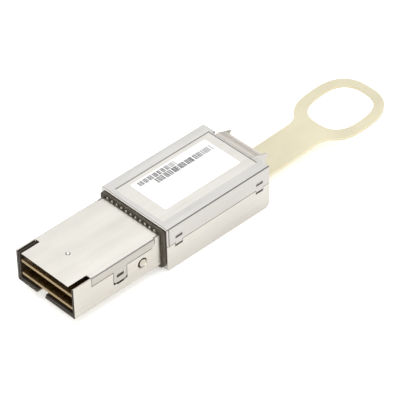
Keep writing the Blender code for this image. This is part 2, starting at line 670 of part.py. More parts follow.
def make_emi_gasket():
    x = (X_NOSE_END + FIT, X_BODY - FIT)
    side = BODY_Y - GASKET_INSET
    low = GASKET_INSET
    high = Z_TOP - GASKET_INSET
    outer = [
        (-side, low, GASKET_CORNER),
        (side, low, GASKET_CORNER),
        (side, high, GASKET_CORNER / 2),
        (-side, high, GASKET_CORNER / 2),
    ]
    neck_y = (-NECK_Y - FIT, NECK_Y + FIT)
    hole = rectangle(neck_y, (Z_NECK - FIT, Z_NECK_TOP + FIT))
    profile("emi_gasket", "YZ", [rounded(outer), hole], x, "gasket_foam")


def make_gasket_retainer():
    x = (X_NOSE_END - RETAINER_SHEET, X_NOSE_END)
    low = Z_NOSE + 2 * FIT
    side = NOSE_Y - FIT
    top = Z_NOSE_TOP - FIT
    points = [(-side, low), (side, low), (side, top)]
    for number in range(TOOTH_COUNT):
        middle = ((TOOTH_COUNT - 1) / 2 - number) * TOOTH_PITCH
        crown = Z_NOSE_TOP + TOOTH_HEIGHT
        points += [
            (middle + TOOTH_WIDTH / 2, top),
            (middle + TOOTH_WIDTH / 2, crown),
            (middle - TOOTH_WIDTH / 2, crown),
            (middle - TOOTH_WIDTH / 2, top),
        ]
    points.append((-side, top))
    hole = rectangle((-NECK_Y - FIT, NECK_Y + FIT), (Z_NECK - FIT, Z_NECK_TOP + FIT))
    profile("gasket_retainer", "YZ", [points, hole], x, "retainer_sheet")


def make_chassis_frame():
    inset = BODY_SHEET + FIT
    x = (X_BODY + inset, X_REAR - inset)
    outline = lower_outline(inset, Z_FRAME_RIM)
    rim = Z_FRAME_RIM
    frame = tray_solid("chassis_frame", outline, FRAME_Y, FRAME_EDGE, rim, "die_cast_zinc")
    inside = (x[0] + FRAME_WALL, x[1] - FRAME_WALL)
    y = (-FRAME_IN_Y, FRAME_IN_Y)
    cut(frame, block("frame_hollow", inside, y, (Z_FRAME_FLOOR, Z_FRAME_RIM + OVER)))
    neck_x = (X_NECK, x[0] + FRAME_WALL / 2)
    add(frame, block("frame_neck", neck_x, (-NECK_Y, NECK_Y), (Z_NECK, Z_NECK_TOP)))
    through = (X_NECK - OVER, inside[0] + OVER / 2)
    y = (-NECK_IN_Y, NECK_IN_Y)
    z = (Z_NECK + NECK_WALL, Z_NECK_TOP - NECK_WALL)
    cut(frame, block("neck_bore", through, y, z))
    rear = (inside[1] - OVER / 2, X_REAR + OVER)
    port_y = (-PORT_OPENING_Y, PORT_OPENING_Y)
    cut(frame, block("frame_port_cut", rear, port_y, (Z_PORT - FIT, Z_FRAME_RIM + OVER)))
    slot_y = (-STRAP_SLOT_Y, STRAP_SLOT_Y)
    cut(frame, block("frame_strap_slot", rear, slot_y, (Z_STRAP_SLOT, Z_STRAP_SLOT_TOP)))
    reach = RIVET_HEAD_RADIUS + 2 * FIT
    window_x = (X_RIVET - reach, X_RIVET + PULL_TRAVEL + reach)
    for side, y in both_sides((RIVET_SPREAD / 2 - reach, RIVET_SPREAD / 2 + reach)):
        floor = (Z_FRAME - OVER, Z_FRAME_FLOOR + OVER)
        cut(frame, block("rivet_window_" + side, window_x, y, floor))
    for place, middle in snap_places():
        lug_x = (middle - SNAP_LENGTH / 2 + FIT, middle + SNAP_LENGTH / 2 - FIT)
        lug_z = (Z_SNAP - SNAP_HEIGHT / 2 + FIT, Z_SNAP)
        for side, y in both_sides((FRAME_Y - FRAME_WALL / 2, FRAME_Y + LUG_REACH)):
            add(frame, block(f"lug_{place}_{side}", lug_x, y, lug_z))
    for side, y in both_sides((spring_y() - SPRING_RADIUS - FIT, FRAME_IN_Y + FRAME_WALL / 2)):
        x = (spring_end(), spring_end() + FRAME_WALL)
        z = (STRAP_RISE + FIT, spring_z() + SPRING_POST_RISE)
        add(frame, block("spring_post_" + side, x, y, z))


def snap_places():
    front = X_BODY + SNAP_FRONT + SNAP_LENGTH / 2
    rear = X_REAR - SNAP_REAR - SNAP_LENGTH / 2
    return (("front", front), ("rear", rear))


def spring_y():
    return SHROUD_Y + SPRING_SIDE_GAP + SPRING_RADIUS


def spring_z():
    return STRAP_RISE + SPRING_RADIUS + SPRING_FLOOR_GAP


def spring_end():
    return X_REAR - BODY_SHEET - FRAME_WALL - SPRING_FROM_REAR


# Rear shells


def lower_outline(inset, top):
    """Side view of the rear body's lower shell, or of what fits inside it by the inset."""
    corners = [
        (X_BODY + inset, inset, 0),
        (X_REAR - inset, inset, REAR_CORNER - inset),
        (X_REAR - inset, top, 0),
        (X_BODY + inset, top, 0),
    ]
    return rounded(corners, steps=4)


def make_rear_lower_shell():
    top = BODY_SEAM_HEIGHT
    outer = lower_outline(0, top)
    shell = tray_solid("rear_lower_shell", outer, BODY_Y, BEND, top, "body_sheet")
    inner = lower_outline(BODY_SHEET, top + OVER)
    bend = max(BEND - BODY_SHEET, 0.0)
    cut(shell, tray_solid("lower_shell_hollow", inner, BODY_IN_Y, bend, top + OVER))
    neck_y = (-NECK_Y - FIT, NECK_Y + FIT)
    front = (X_BODY - OVER, X_BODY + BODY_SHEET + OVER / 2)
    cut(shell, block("lower_neck_cut", front, neck_y, (Z_NECK - FIT, top + OVER)))
    rear = (X_REAR - BODY_SHEET - OVER / 2, X_REAR + OVER)
    port_y = (-PORT_OPENING_Y, PORT_OPENING_Y)
    cut(shell, block("lower_port_cut", rear, port_y, (Z_PORT - FIT, top + OVER)))
    slot_y = (-STRAP_SLOT_Y, STRAP_SLOT_Y)
    cut(shell, block("lower_strap_slot", rear, slot_y, (Z_STRAP_SLOT, Z_STRAP_SLOT_TOP)))
    for place, middle in snap_places():
        x = (middle - SNAP_LENGTH / 2 - SEAM, middle + SNAP_LENGTH / 2 + SEAM)
        for side, y in both_sides((BODY_IN_Y - OVER / 2, BODY_Y + OVER)):
            z = (top - SNAP_DROP - 2 * SEAM - SNAP_RELIEF, top + OVER)
            cut(shell, block(f"lower_snap_notch_{place}_{side}", x, y, z))


def make_rear_top_cover():
    low = Z_COVER_SEAM
    outer = rectangle((X_BODY, X_REAR), (low, Z_TOP))
    cover = tray_solid("rear_top_cover", outer, BODY_Y, BEND, low, "body_sheet")
    inside = (X_BODY + BODY_SHEET, X_REAR - BODY_SHEET)
    inner = rectangle(inside, (low - OVER, Z_TOP - BODY_SHEET))
    bend = max(BEND - BODY_SHEET, 0.0)
    cut(cover, tray_solid("cover_hollow", inner, BODY_IN_Y, bend, low - OVER))
    neck_y = (-NECK_Y - FIT, NECK_Y + FIT)
    front = (X_BODY - OVER, X_BODY + BODY_SHEET + OVER / 2)
    cut(cover, block("cover_neck_cut", front, neck_y, (low - OVER, Z_NECK_TOP + FIT)))
    gap_x = (X_BODY + BODY_SHEET, X_BODY + BODY_SHEET + FRONT_FLANGE_GAP)
    for side, y in both_sides((BODY_IN_Y - FIT, BODY_Y + OVER)):
        z = (low - OVER, Z_TOP - BEND)
        cut(cover, block("corner_gap_" + side, gap_x, y, z))
    rear = (X_LIP + FIT, X_REAR + OVER)
    port = BODY_Y - SHOULDER_WIDTH
    cut(cover, block("cover_port_cut", rear, (-port, port), (low - OVER, Z_TOP + OVER)))
    for place, middle in snap_places():
        x = (middle - SNAP_LENGTH / 2, middle + SNAP_LENGTH / 2)
        for side, y in both_sides((BODY_IN_Y, BODY_Y)):
            tab = block(f"cover_tab_{place}_{side}", x, y, (low - SEAM - SNAP_DROP, low + OVER / 2))
            add(cover, tab)
        for side, y in both_sides((BODY_IN_Y - OVER / 2, BODY_Y + OVER)):
            z = (Z_SNAP - SNAP_HEIGHT / 2, Z_SNAP + SNAP_HEIGHT / 2)
            cut(cover, block(f"cover_slot_{place}_{side}", x, y, z))
    x = (X_BODY + LABEL_FROM_FRONT - RECESS_AHEAD, X_LIP - RECESS_BEHIND)
    y = (-RECESS_WIDTH / 2, RECESS_WIDTH / 2)
    cut(cover, block("label_recess", x, y, (Z_TOP - RECESS_DEPTH, Z_TOP + OVER)))


def make_label():
    start = X_BODY + LABEL_FROM_FRONT
    y = (LABEL_OFFSET - LABEL_WIDTH / 2, LABEL_OFFSET + LABEL_WIDTH / 2)
    low = Z_TOP - RECESS_DEPTH + LABEL_GAP
    outline = rectangle((start, start + LABEL_LENGTH), y, LABEL_CORNER)
    profile("label", "XY", [outline], (low, low + LABEL_SHEET), "label_paper")


# Latch and pull tab


def make_latch_yoke():
    arm_y = (NECK_IN_Y - ARM_OUTSET - YOKE_SHEET, NECK_IN_Y - ARM_OUTSET)
    plate_x = (X_BODY + PLATE_FROM_FRONT, X_REAR - PLATE_FROM_REAR)
    half = spring_y() + SPRING_RADIUS
    plate_z = (Z_YOKE, Z_YOKE + YOKE_SHEET)
    wide_x = (X_STRAP - PLATE_AHEAD, plate_x[1])
    narrow = arm_y[1]
    plate = [
        (plate_x[0], -narrow),
        (wide_x[0], -narrow),
        (wide_x[0], -half),
        (wide_x[1], -half),
        (wide_x[1], half),
        (wide_x[0], half),
        (wide_x[0], narrow),
        (plate_x[0], narrow),
    ]
    yoke = profile("latch_yoke", "XY", [plate], plate_z, "latch_steel")
    tab_z = (Z_CAM_TAB, Z_CAM_TAB_TOP)
    arm_z = (Z_LOWER_CARD_TOP + 2 * FIT, Z_CAM_TAB_TOP)
    arm_x = X_LATCH + TOOTH_RADIUS + 4 * FIT
    for side, y in both_sides(arm_y):
        riser_end = plate_x[0] + RISER_LENGTH
        arm = [
            (arm_x, arm_z[0]),
            (plate_x[0] + FIT, arm_z[0]),
            (plate_x[0] + FIT, plate_z[0] + YOKE_SHEET / 2),
            (riser_end, plate_z[0] + YOKE_SHEET / 2),
            (riser_end, arm_z[1]),
            (arm_x, arm_z[1]),
        ]
        add(yoke, profile("yoke_arm_" + side, "XZ", [arm], y))
    for side, y in both_sides((arm_y[1] - CAM_TAB_WIDTH, arm_y[1])):
        x = (X_LATCH - CAM_TAB_FRONT, arm_x + CAM_TAB_ROOT)
        add(yoke, block("cam_tab_" + side, x, y, tab_z))
        cut(yoke, cam_slot(side, 1 if y[0] > 0 else -1, tab_z))
    for side, y in both_sides((spring_y() - SPRING_RADIUS, spring_y() + SPRING_RADIUS)):
        x = spring_end() - FIT - SPRING_LENGTH - FIT - YOKE_SHEET
        tab_top = spring_z() + SPRING_RADIUS
        stop = (plate_z[0] + YOKE_SHEET / 2, tab_top)
        add(yoke, block("spring_tab_" + side, (x, x + YOKE_SHEET), y, stop))
    for side, y in (("left", RIVET_SPREAD / 2), ("right", -RIVET_SPREAD / 2)):
        z = (plate_z[0] - OVER, plate_z[1] + OVER)
        cut(yoke, rod("yoke_rivet_hole_" + side, "z", *z, (X_RIVET, y), RIVET_RADIUS + FIT))
    return yoke


def cam_slot(side, sign, z):
    """The slanted slot that draws a latch tooth in as the yoke is pulled back."""
    start = Vector((X_LATCH, sign * cam_pin_y()))
    end = start - Vector((PULL_TRAVEL, sign * LATCH_TRAVEL))
    along = (end - start).normalized()
    radius = CAM_PIN_RADIUS + CAM_SLOT_PLAY
    turn = math.atan2(along.y, along.x)
    points = []
    for centre, first in ((end, -math.pi / 2), (start, math.pi / 2)):
        for k in range(7):
            angle = turn + first + math.pi * k / 6
            points.append(centre + radius * Vector((math.cos(angle), math.sin(angle))))
    return profile("cam_slot_" + side, "XY", [points], (z[0] - FIT, z[1] + FIT))


def cam_pin_y():
    return NOSE_Y + LATCH_PROUD - CAM_PIN_IN


def make_latch_teeth():
    teeth = []
    outer = NOSE_Y + LATCH_PROUD
    for side, sign in (("left", 1), ("right", -1)):
        ends = sorted((sign * outer, sign * (outer - TOOTH_LENGTH)))
        at = (X_LATCH, Z_LATCH)
        tooth = rod("latch_tooth_" + side, "y", *ends, at, TOOTH_RADIUS, "latch_steel", sides=24)
        shank = sorted((sign * (outer - TOOTH_HEAD), sign * (outer - TOOTH_LENGTH - OVER)))
        x = (X_LATCH - 2 * TOOTH_RADIUS, X_LATCH + 2 * TOOTH_RADIUS)
        z = (Z_LATCH + TOOTH_FLAT, Z_LATCH + 2 * TOOTH_RADIUS)
        cut(tooth, block("tooth_flat_" + side, x, shank, z))
        top = Z_CAM_TAB_TOP + FIT
        place = (X_LATCH, sign * cam_pin_y())
        pin = rod("cam_pin_" + side, "z", Z_LATCH, top, place, CAM_PIN_RADIUS, sides=16)
        add(tooth, pin)
        teeth.append(tooth)
    return teeth


def ring_point(angle, half_length, half_width, centre):
    """A point of the ring's rounded outline, a superellipse."""
    across = math.copysign(abs(math.cos(angle)) ** (2 / RING_POWER), math.cos(angle))
    aside = math.copysign(abs(math.sin(angle)) ** (2 / RING_POWER), math.sin(angle))
    return Vector((centre + half_length * across, half_width * aside))


def hermite(start, end, start_tangent, end_tangent, steps):
    points = []
    for k in range(1, steps):
        t = k / steps
        a = 2 * t**3 - 3 * t**2 + 1
        b = t**3 - 2 * t**2 + t
        c = -2 * t**3 + 3 * t**2
        d = t**3 - t**2
        points.append(a * start + b * start_tangent + c * end + d * end_tangent)
    return points


def curve_up(bm):
    """Curves the tab up behind the rear body, in straight steps across it."""
    bands = 12
    for k in range(bands):
        geometry = [*bm.verts, *bm.edges, *bm.faces]
        place = (X_REAR + TAB_REACH * k / bands, 0, 0)
        bmesh.ops.bisect_plane(bm, geom=geometry, plane_co=place, plane_no=(1, 0, 0))
    for vertex in bm.verts:
        share = max(vertex.co.x - X_REAR, 0.0) / TAB_REACH
        vertex.co.z += TAB_LIFT * share**2


def make_pull_tab():
    centre = X_TAB_END - RING_LENGTH / 2
    half = STRAP_WIDTH / 2
    join = RING_JOIN
    step = math.radians(1)
    turns = 30
    outer = [
        ring_point(-join + 2 * join * k / turns, RING_LENGTH / 2, RING_WIDTH / 2, centre)
        for k in range(turns + 1)
    ]
    on_ring = outer[-1]
    before = ring_point(join - step, RING_LENGTH / 2, RING_WIDTH / 2, centre)
    leave = (on_ring - before).normalized() * FILLET_LEAVE
    start = Vector((on_ring.x - FILLET_RUN, half))
    blend = hermite(on_ring, start, leave, Vector((-FILLET_MEET, 0)), 6)
    far = [Vector((X_STRAP, half)), Vector((X_STRAP, -half))]
    mirrored = [Vector((p.x, -p.y)) for p in reversed([*blend, start])]
    outline = [*outer, *blend, start, *far, *mirrored]
    hole_centre = X_TAB_END - HOLE_FROM_END - HOLE_LENGTH / 2
    hole = [
        ring_point(math.tau * k / 32, HOLE_LENGTH / 2, HOLE_WIDTH / 2, hole_centre)
        for k in range(32)
    ]
    z = (STRAP_RISE, Z_STRAP_TOP)
    bm = outline_mesh("pull_tab", "XY", [outline, hole], z)
    curve_up(bm)
    tab = keep("pull_tab", bm, "ivory_plastic")
    for side, y in (("left", RIVET_SPREAD / 2), ("right", -RIVET_SPREAD / 2)):
        span = (z[0] - OVER, z[1] + OVER)
        cut(tab, rod("tab_rivet_hole_" + side, "z", *span, (X_RIVET, y), RIVET_RADIUS + FIT))
    return tab


def turned(name, places, centre, finish, steps=20):
    """A turned piece: (radius, height) places from the top down, run round a vertical axis."""
    mesh = bpy.data.meshes.new(name)
    points = [(radius, 0.0, height) for radius, height in places]
    edges = [(i, i + 1) for i in range(len(points) - 1)]
    mesh.from_pydata(points, edges, [])
    mesh.materials.append(material(finish))
    made = bpy.data.objects.new(name, mesh)
    made.location = centre
    PARTS.objects.link(made)
    screw = made.modifiers.new("turn", "SCREW")
    screw.steps = steps
    screw.render_steps = steps
    screw.use_merge_vertices = True
    screw.merge_threshold = WELD
    screw.use_smooth_shade = False
    return made


def make_rivets():
    head = RIVET_HEAD
    low = Z_YOKE - FIT / 2
    high = Z_STRAP_TOP + FIT / 2
    places = [
        (0.0, high + head),
        (RIVET_CROWN_RADIUS, high + head),
        (RIVET_HEAD_RADIUS, high),
        (RIVET_RADIUS, high),
        (RIVET_RADIUS, low),
        (RIVET_HEAD_RADIUS, low),
        (RIVET_CROWN_RADIUS, low - RIVET_LOWER_HEAD),
        (0.0, low - RIVET_LOWER_HEAD),
    ]
    rivets = []
    for side, y in (("left", RIVET_SPREAD / 2), ("right", -RIVET_SPREAD / 2)):
        rivets.append(turned("strap_rivet_" + side, places, (X_RIVET, y, 0.0), "rivet_steel"))
    return rivets


def make_return_springs():
    per_turn = 10
    start = spring_end() - FIT - SPRING_LENGTH
    for side, y in (("left", spring_y()), ("right", -spring_y())):
        curve = bpy.data.curves.new("return_spring_" + side, "CURVE")
        curve.dimensions = "3D"
        curve.bevel_depth = SPRING_WIRE
        curve.bevel_resolution = 1
        curve.use_fill_caps = True
        spline = curve.splines.new("POLY")
        count = per_turn * SPRING_TURNS + 1
        spline.points.add(count - 1)
        coil = SPRING_RADIUS - SPRING_WIRE
        run = SPRING_LENGTH - 2 * SPRING_WIRE
        for number, point in enumerate(spline.points):
            angle = math.tau * number / per_turn
            x = start + SPRING_WIRE + run * number / (count - 1)
            point.co = (x, y + coil * math.sin(angle), spring_z() + coil * math.cos(angle), 1.0)
        spring = bpy.data.objects.new("return_spring_" + side, curve)
        curve.materials.append(material("spring_steel"))
        PARTS.objects.link(spring)


# Fibre port


def make_port_shroud():
    x = (X_PORT + SHROUD_INSET, X_MOUTH + SHROUD_OUTSIDE)
    centre_z = Z_TOP - LIP_RADIUS
    steps = 8
    arc = []
    for radius, order in ((LIP_RADIUS, 1), (LIP_RADIUS - LIP_SHEET, -1)):
        places = range(steps + 1)[::order]
        for k in places:
            angle = LIP_TURN * k / steps
            arc.append((X_LIP + 2 * FIT + radius * math.sin(angle), centre_z + radius * math.cos(angle)))
    y = (-SHROUD_Y, SHROUD_Y)
    shroud = profile("port_shroud", "XZ", [arc], y, "shroud_sheet")
    tongue_z = (Z_COVER_UNDER - FIT - SHROUD_SHEET, Z_COVER_UNDER - FIT)
    tongue_x = (x[0], X_LIP + 2 * FIT + TONGUE_OVERLAP)
    add(shroud, block("shroud_tongue", tongue_x, y, tongue_z))
    top = Z_TOP - SHROUD_SHOULDER_DROP
    side_outline = [
        (x[0], Z_PORT),
        (x[1], Z_PORT),
        (x[1], Z_TOP - SHROUD_CORNER_DROP),
        (X_REAR + EAR_REACH, Z_TOP - EAR_DROP),
        (X_REAR + SHROUD_SHOULDER, top),
        (X_LIP + 4 * FIT, top),
        (X_LIP + 4 * FIT, tongue_z[1] - SHROUD_SHEET / 2),
        (x[0], tongue_z[1] - SHROUD_SHEET / 2),
    ]
    for side, y in both_sides((SHROUD_IN_Y, SHROUD_Y)):
        add(shroud, profile("shroud_side_" + side, "XZ", [side_outline], y))


def make_port_housing():
    x = (X_PORT, X_MOUTH)
    z = (Z_PORT, Z_PORT_TOP)
    housing = block("port_housing", x, (-PORT_Y, PORT_Y), z, "port_plastic")
    brow = Z_SOCKET + SOCKET_HEIGHT + SOCKET_KEY_HEIGHT + PORT_BROW
    brow_x = (X_LIP - FIT, X_MOUTH + OVER)
    wide = (-PORT_Y - OVER, PORT_Y + OVER)
    cut(housing, block("housing_brow", brow_x, wide, (brow, Z_PORT_TOP + OVER)))
    mouth = (X_SOCKET, X_MOUTH + OVER)
    y = (-SOCKET_WIDTH / 2, SOCKET_WIDTH / 2)
    cut(housing, block("socket", mouth, y, (Z_SOCKET, Z_SOCKET + SOCKET_HEIGHT)))
    key_y = (-SOCKET_KEY_WIDTH / 2, SOCKET_KEY_WIDTH / 2)
    key_z = (Z_SOCKET + SOCKET_HEIGHT / 2, Z_SOCKET + SOCKET_HEIGHT + SOCKET_KEY_HEIGHT)
    cut(housing, block("socket_key", mouth, key_y, key_z))
    seat_y = (-FERRULE_WIDTH / 2 - FIT, FERRULE_WIDTH / 2 + FIT)
    half = FERRULE_HEIGHT / 2 + FIT
    seat_x = (X_PORT - OVER, X_SOCKET + OVER)
    cut(housing, block("ferrule_seat", seat_x, seat_y, (Z_PORT_AXIS - half, Z_PORT_AXIS + half)))


def make_ferrule_and_pins():
    x = (X_FERRULE, X_FERRULE_END)
    y = (-FERRULE_WIDTH / 2, FERRULE_WIDTH / 2)
    z = (Z_PORT_AXIS - FERRULE_HEIGHT / 2, Z_PORT_AXIS + FERRULE_HEIGHT / 2)
    ferrule = block("mt_ferrule", x, y, z, "ferrule_plastic")
    pin_x = (x[1] + PIN_PROUD - PIN_LENGTH, x[1] + PIN_PROUD)
    for side, place in (("left", PIN_SPREAD / 2), ("right", -PIN_SPREAD / 2)):
        at = (place, Z_PORT_AXIS)
        bore = (pin_x[0] - 2 * FIT, x[1] + OVER)
        cut(ferrule, rod("pin_bore_" + side, "x", *bore, at, PIN_RADIUS + FIT / 2, sides=12))
        rod("guide_pin_" + side, "x", *pin_x, at, PIN_RADIUS, "pin_steel", sides=12)


def make_ribbons():
    """Two fibre ribbons that swing from the ferrule to the lens blocks, up and down."""
    ends = (
        ("tx_fibre_ribbon", RIBBON_SPREAD / 2, Z_UPPER_CARD_TOP + SOLDER_GAP + LENS_HEIGHT / 2),
        ("rx_fibre_ribbon", -RIBBON_SPREAD / 2, Z_LOWER_CARD_TOP + SOLDER_GAP + LENS_HEIGHT / 2),
    )
    steps = 10
    for name, offset, level in ends:
        low, high = [], []
        first = Z_PORT_AXIS + offset
        for k in range(steps + 1):
            share = (1 - math.cos(math.pi * k / steps)) / 2
            x = X_RIBBON - RIBBON_RUN * k / steps
            middle = first + (level - first) * share
            low.append((x, middle - RIBBON_SHEET / 2))
            high.append((x, middle + RIBBON_SHEET / 2))
        y = (-RIBBON_WIDTH / 2, RIBBON_WIDTH / 2)
        profile(name, "XZ", [[*low, *reversed(high)]], y, "ribbon_acrylate")


# Electronics on the cards


def make_electronics():
    lens_y = (-LENS_WIDTH / 2, LENS_WIDTH / 2)
    chip_y = (-CHIP_WIDTH / 2, CHIP_WIDTH / 2)
    chip_end = X_LENS_END - LENS_LENGTH - CHIP_GAP
    boards = (
        ("tx_lens_block", "tx_driver_chip", Z_UPPER_CARD_TOP + SOLDER_GAP),
        ("rx_lens_block", "rx_receiver_chip", Z_LOWER_CARD_TOP + SOLDER_GAP),
    )
    for lens, chip, z in boards:
        outline = [
            (X_LENS_END - LENS_LENGTH, z),
            (X_LENS_END, z),
            (X_LENS_END, z + LENS_HEIGHT),
            (X_LENS_END - LENS_LENGTH + LENS_SLOPE, z + LENS_HEIGHT),
            (X_LENS_END - LENS_LENGTH, z + LENS_HEIGHT - LENS_SLOPE),
        ]
        profile(lens, "XZ", [outline], lens_y, "lens_polymer")
        block(chip, (chip_end - CHIP_LENGTH, chip_end), chip_y, (z, z + CHIP_HEIGHT), "chip_epoxy")
    z = Z_UPPER_CARD_TOP + SOLDER_GAP
    side = CONTROLLER_SIZE / 2
    limits = (X_NOSE_END - 2 * side, X_NOSE_END)
    block("controller_chip", limits, (-side, side), (z, z + CHIP_HEIGHT), "chip_epoxy")
    pad_z = (z + CHIP_HEIGHT + SOLDER_GAP, Z_COVER_UNDER - SOLDER_GAP)
    pad_x = (chip_end - CHIP_LENGTH, chip_end)
    block("thermal_pad", pad_x, chip_y, pad_z, "thermal_pad")
    link_x = (X_BODY + LINK_FROM_FRONT, X_BODY + LINK_FROM_FRONT + LINK_LENGTH)
    link_z = (Z_LOWER_CARD_TOP + SOLDER_GAP, Z_UPPER_CARD - SOLDER_GAP)
    link_y = (-LINK_WIDTH / 2, LINK_WIDTH / 2)
    block("board_link", link_x, link_y, link_z, "dark_plastic")


def slide_axis(name, place, pieces):
    """An empty on a slide's axis, with the pieces that move along it as its children."""
    axis = bpy.data.objects.new(name, None)
    axis.empty_display_size = 4 * MM
    axis.location = place
    PARTS.objects.link(axis)
    for piece in pieces:
        piece.location = piece.location - axis.location
        piece.parent = axis


def main():
    make_nose_lower_shell()
    make_nose_top_cover()
    make_card_guide()
    make_paddle_cards()
    make_card_spacer()
    make_emi_gasket()
    make_gasket_retainer()
    make_chassis_frame()
    make_rear_lower_shell()
    make_rear_top_cover()
    make_label()
    yoke = make_latch_yoke()
    left, right = make_latch_teeth()
    tab = make_pull_tab()
    rivets = make_rivets()
    make_return_springs()
    make_port_shroud()
    make_port_housing()
    make_ferrule_and_pins()
    make_ribbons()
    make_electronics()
    slide_axis("pull_slide", (X_RIVET, 0.0, STRAP_RISE), [yoke, tab, *rivets])
    slide_axis("latch_slide_left", (X_LATCH, NOSE_Y, Z_LATCH), [left])
    slide_axis("latch_slide_right", (X_LATCH, -NOSE_Y, Z_LATCH), [right])


main()
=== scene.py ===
"""The finished look of a pluggable optical transceiver module, laid out as a Blender add-on.

Each operator makes one piece, or one group of like pieces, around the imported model's nodes.
The module lies along X with its plug nose at -X, its pull tab at +X and its label facing +Z.
"""

import json
import math

import bmesh
import bpy
from bpy.props import FloatProperty, FloatVectorProperty, IntProperty, PointerProperty
from mathutils import Matrix, Vector


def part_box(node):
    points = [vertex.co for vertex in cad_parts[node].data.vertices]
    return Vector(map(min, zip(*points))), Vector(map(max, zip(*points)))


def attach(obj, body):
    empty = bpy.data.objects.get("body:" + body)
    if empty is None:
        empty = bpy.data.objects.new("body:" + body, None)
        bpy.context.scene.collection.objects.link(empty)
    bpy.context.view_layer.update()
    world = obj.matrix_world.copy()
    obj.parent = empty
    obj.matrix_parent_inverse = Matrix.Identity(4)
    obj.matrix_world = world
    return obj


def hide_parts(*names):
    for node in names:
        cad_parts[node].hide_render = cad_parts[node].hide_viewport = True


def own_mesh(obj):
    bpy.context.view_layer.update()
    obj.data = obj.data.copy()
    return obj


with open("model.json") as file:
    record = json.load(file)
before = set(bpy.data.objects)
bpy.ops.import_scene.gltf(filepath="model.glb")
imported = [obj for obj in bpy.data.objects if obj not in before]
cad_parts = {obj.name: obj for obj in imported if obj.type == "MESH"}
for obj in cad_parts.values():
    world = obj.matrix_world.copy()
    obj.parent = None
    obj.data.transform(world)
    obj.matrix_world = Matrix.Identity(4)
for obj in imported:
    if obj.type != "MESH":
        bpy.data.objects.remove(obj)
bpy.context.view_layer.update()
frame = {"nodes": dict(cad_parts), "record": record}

bl_info = {
    "name": "Optical Transceiver Look",
    "version": (1, 0, 0),
    "blender": (4, 5, 0),
    "location": "3D View > Sidebar > Transceiver",
    "description": "Sheet-metal shells, gasket, label, contacts, port and pull tab of an optical transceiver",
    "category": "Object",
}

MM = 0.001
SIDES = ("left", "right")
MERGE = 0.001 * MM  # corners nearer than this are one corner
LEVEL = 0.02 * MM  # heights nearer than this are one height
FLAT_ANGLE = math.radians(1)  # faces that turn less than this are one face
SHARP_ANGLE = math.radians(35)  # a fold sharper than this keeps its edge
BEVEL_ANGLE = math.radians(40)  # and one sharper than this is rounded
SIDEWAYS = 0.7  # a face whose normal's Y is larger than this looks sideways
MOUTH_DEPTH = 0.1 * MM  # the cut edges around the nose's mouth lie within this
DIMPLE = Vector((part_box("nose_top_cover")[0].x + 8.4 * MM, 0.45 * MM))  # the middle of the cover's dimple
DIMPLE_REACH = 0.8 * MM  # its rim lies within this of its middle
DIMPLE_DEPTHS = (0.01 * MM, 0.3 * MM)  # its floor lies between these under the cover's top
DIMPLE_DRAW = 0.5  # the floor's width, as a share of the mouth's
HOLE_REACH = 1.9 * MM  # a latch hole's rim lies within this of its tooth's axis
HOLE_PLAY = 0.32 * MM  # and its inner rim is drawn in to this distance from the tooth
HOLE_OUTER = 0.4 * MM  # corners nearer than this to the tooth's face belong to the outer rim
BEND_WIDTH = 0.28 * MM  # of the strips of painted shade along both sides of a cover's bends
PANEL_DEPTH = 0.15 * MM  # how far the cover's label panel is sunk
PANEL_SLOPE = 0.3 * MM  # how far its step runs in
RIM_TRIM = 0.02 * MM  # the retainer's cut runs this far under the fingers' feet, clear of their corners
FINGER_INSET = 0.01 * MM  # from the retainer's front face back to the fingers'
CONTACT_INSET = 0.3 * MM  # from a card's front edge to its first pads
BAR_LIMIT = 80  # the most bars that a printed row may hold
BAR_SPREAD = {"Min": 0.6, "Max": 2.1}  # of the bars' widths, as shares of Bar
GAP_SPREAD = {"Min": 0.3, "Max": 2.0}  # of the gaps between them, as shares of Gap
FADE_START = 0.68  # a printed row fades after this share of its length
FADE = 0.35  # and is this much paler at its end
FLOOR_REACH = 3.0  # metres from the floor's middle to its edges
BEHAVIOUR = frame["record"]["behaviour"]
BODIES = {node: body for body, nodes in BEHAVIOUR["bodies"].items() for node in nodes}

# Node kinds and settings that several trees use
MATH = "ShaderNodeMath"
XYZ = "ShaderNodeCombineXYZ"
ON_POINTS = "GeometryNodeInstanceOnPoints"
STORE = "GeometryNodeStoreNamedAttribute"
RANDOM = "FunctionNodeRandomValue"
NOISE = "ShaderNodeTexNoise"
TIMES = {"operation": "MULTIPLY"}
PLUS = {"operation": "ADD"}
TIMES_PLUS = {"operation": "MULTIPLY_ADD"}
REMAINDER = {"operation": "MODULO"}
BELOW = {"operation": "LESS_THAN"}
ABOVE = {"operation": "GREATER_THAN"}
FLOATS = {"data_type": "FLOAT"}


# Colour and node helpers


def rgba(code):
    """Linear colour, with full alpha, of an sRGB hex code. A linear colour stays as it is."""
    if not isinstance(code, str):
        return tuple(code)
    values = [int(code[i : i + 2], 16) / 255 for i in (0, 2, 4)]
    linear = [v / 12.92 if v <= 0.04045 else ((v + 0.055) / 1.055) ** 2.4 for v in values]
    return (*linear, 1.0)


def add_node(tree, kind, settings=None, **links):
    """A new node. Settings are its properties; each link is a value, socket or node for a named input.

    A node stands for its first output, and i0, i1 and so on name an input by its number instead.
    """
    node = tree.nodes.new(kind)
    for key, value in (settings or {}).items():
        setattr(node, key, value)
    for key, value in links.items():
        if key[0] == "i" and key[1:].isdigit():
            socket = node.inputs[int(key[1:])]
        else:
            wanted = key.replace("_", " ").lower()
            socket = next(s for s in node.inputs if s.enabled and s.name.lower() == wanted)
        if isinstance(value, bpy.types.Node):
            value = first(value)
        if isinstance(value, bpy.types.NodeSocket):
            tree.links.new(value, socket)
        else:
            socket.default_value = value
    return node


def first(node):
    """The node's first output that is in use."""
    return next(s for s in node.outputs if s.enabled)


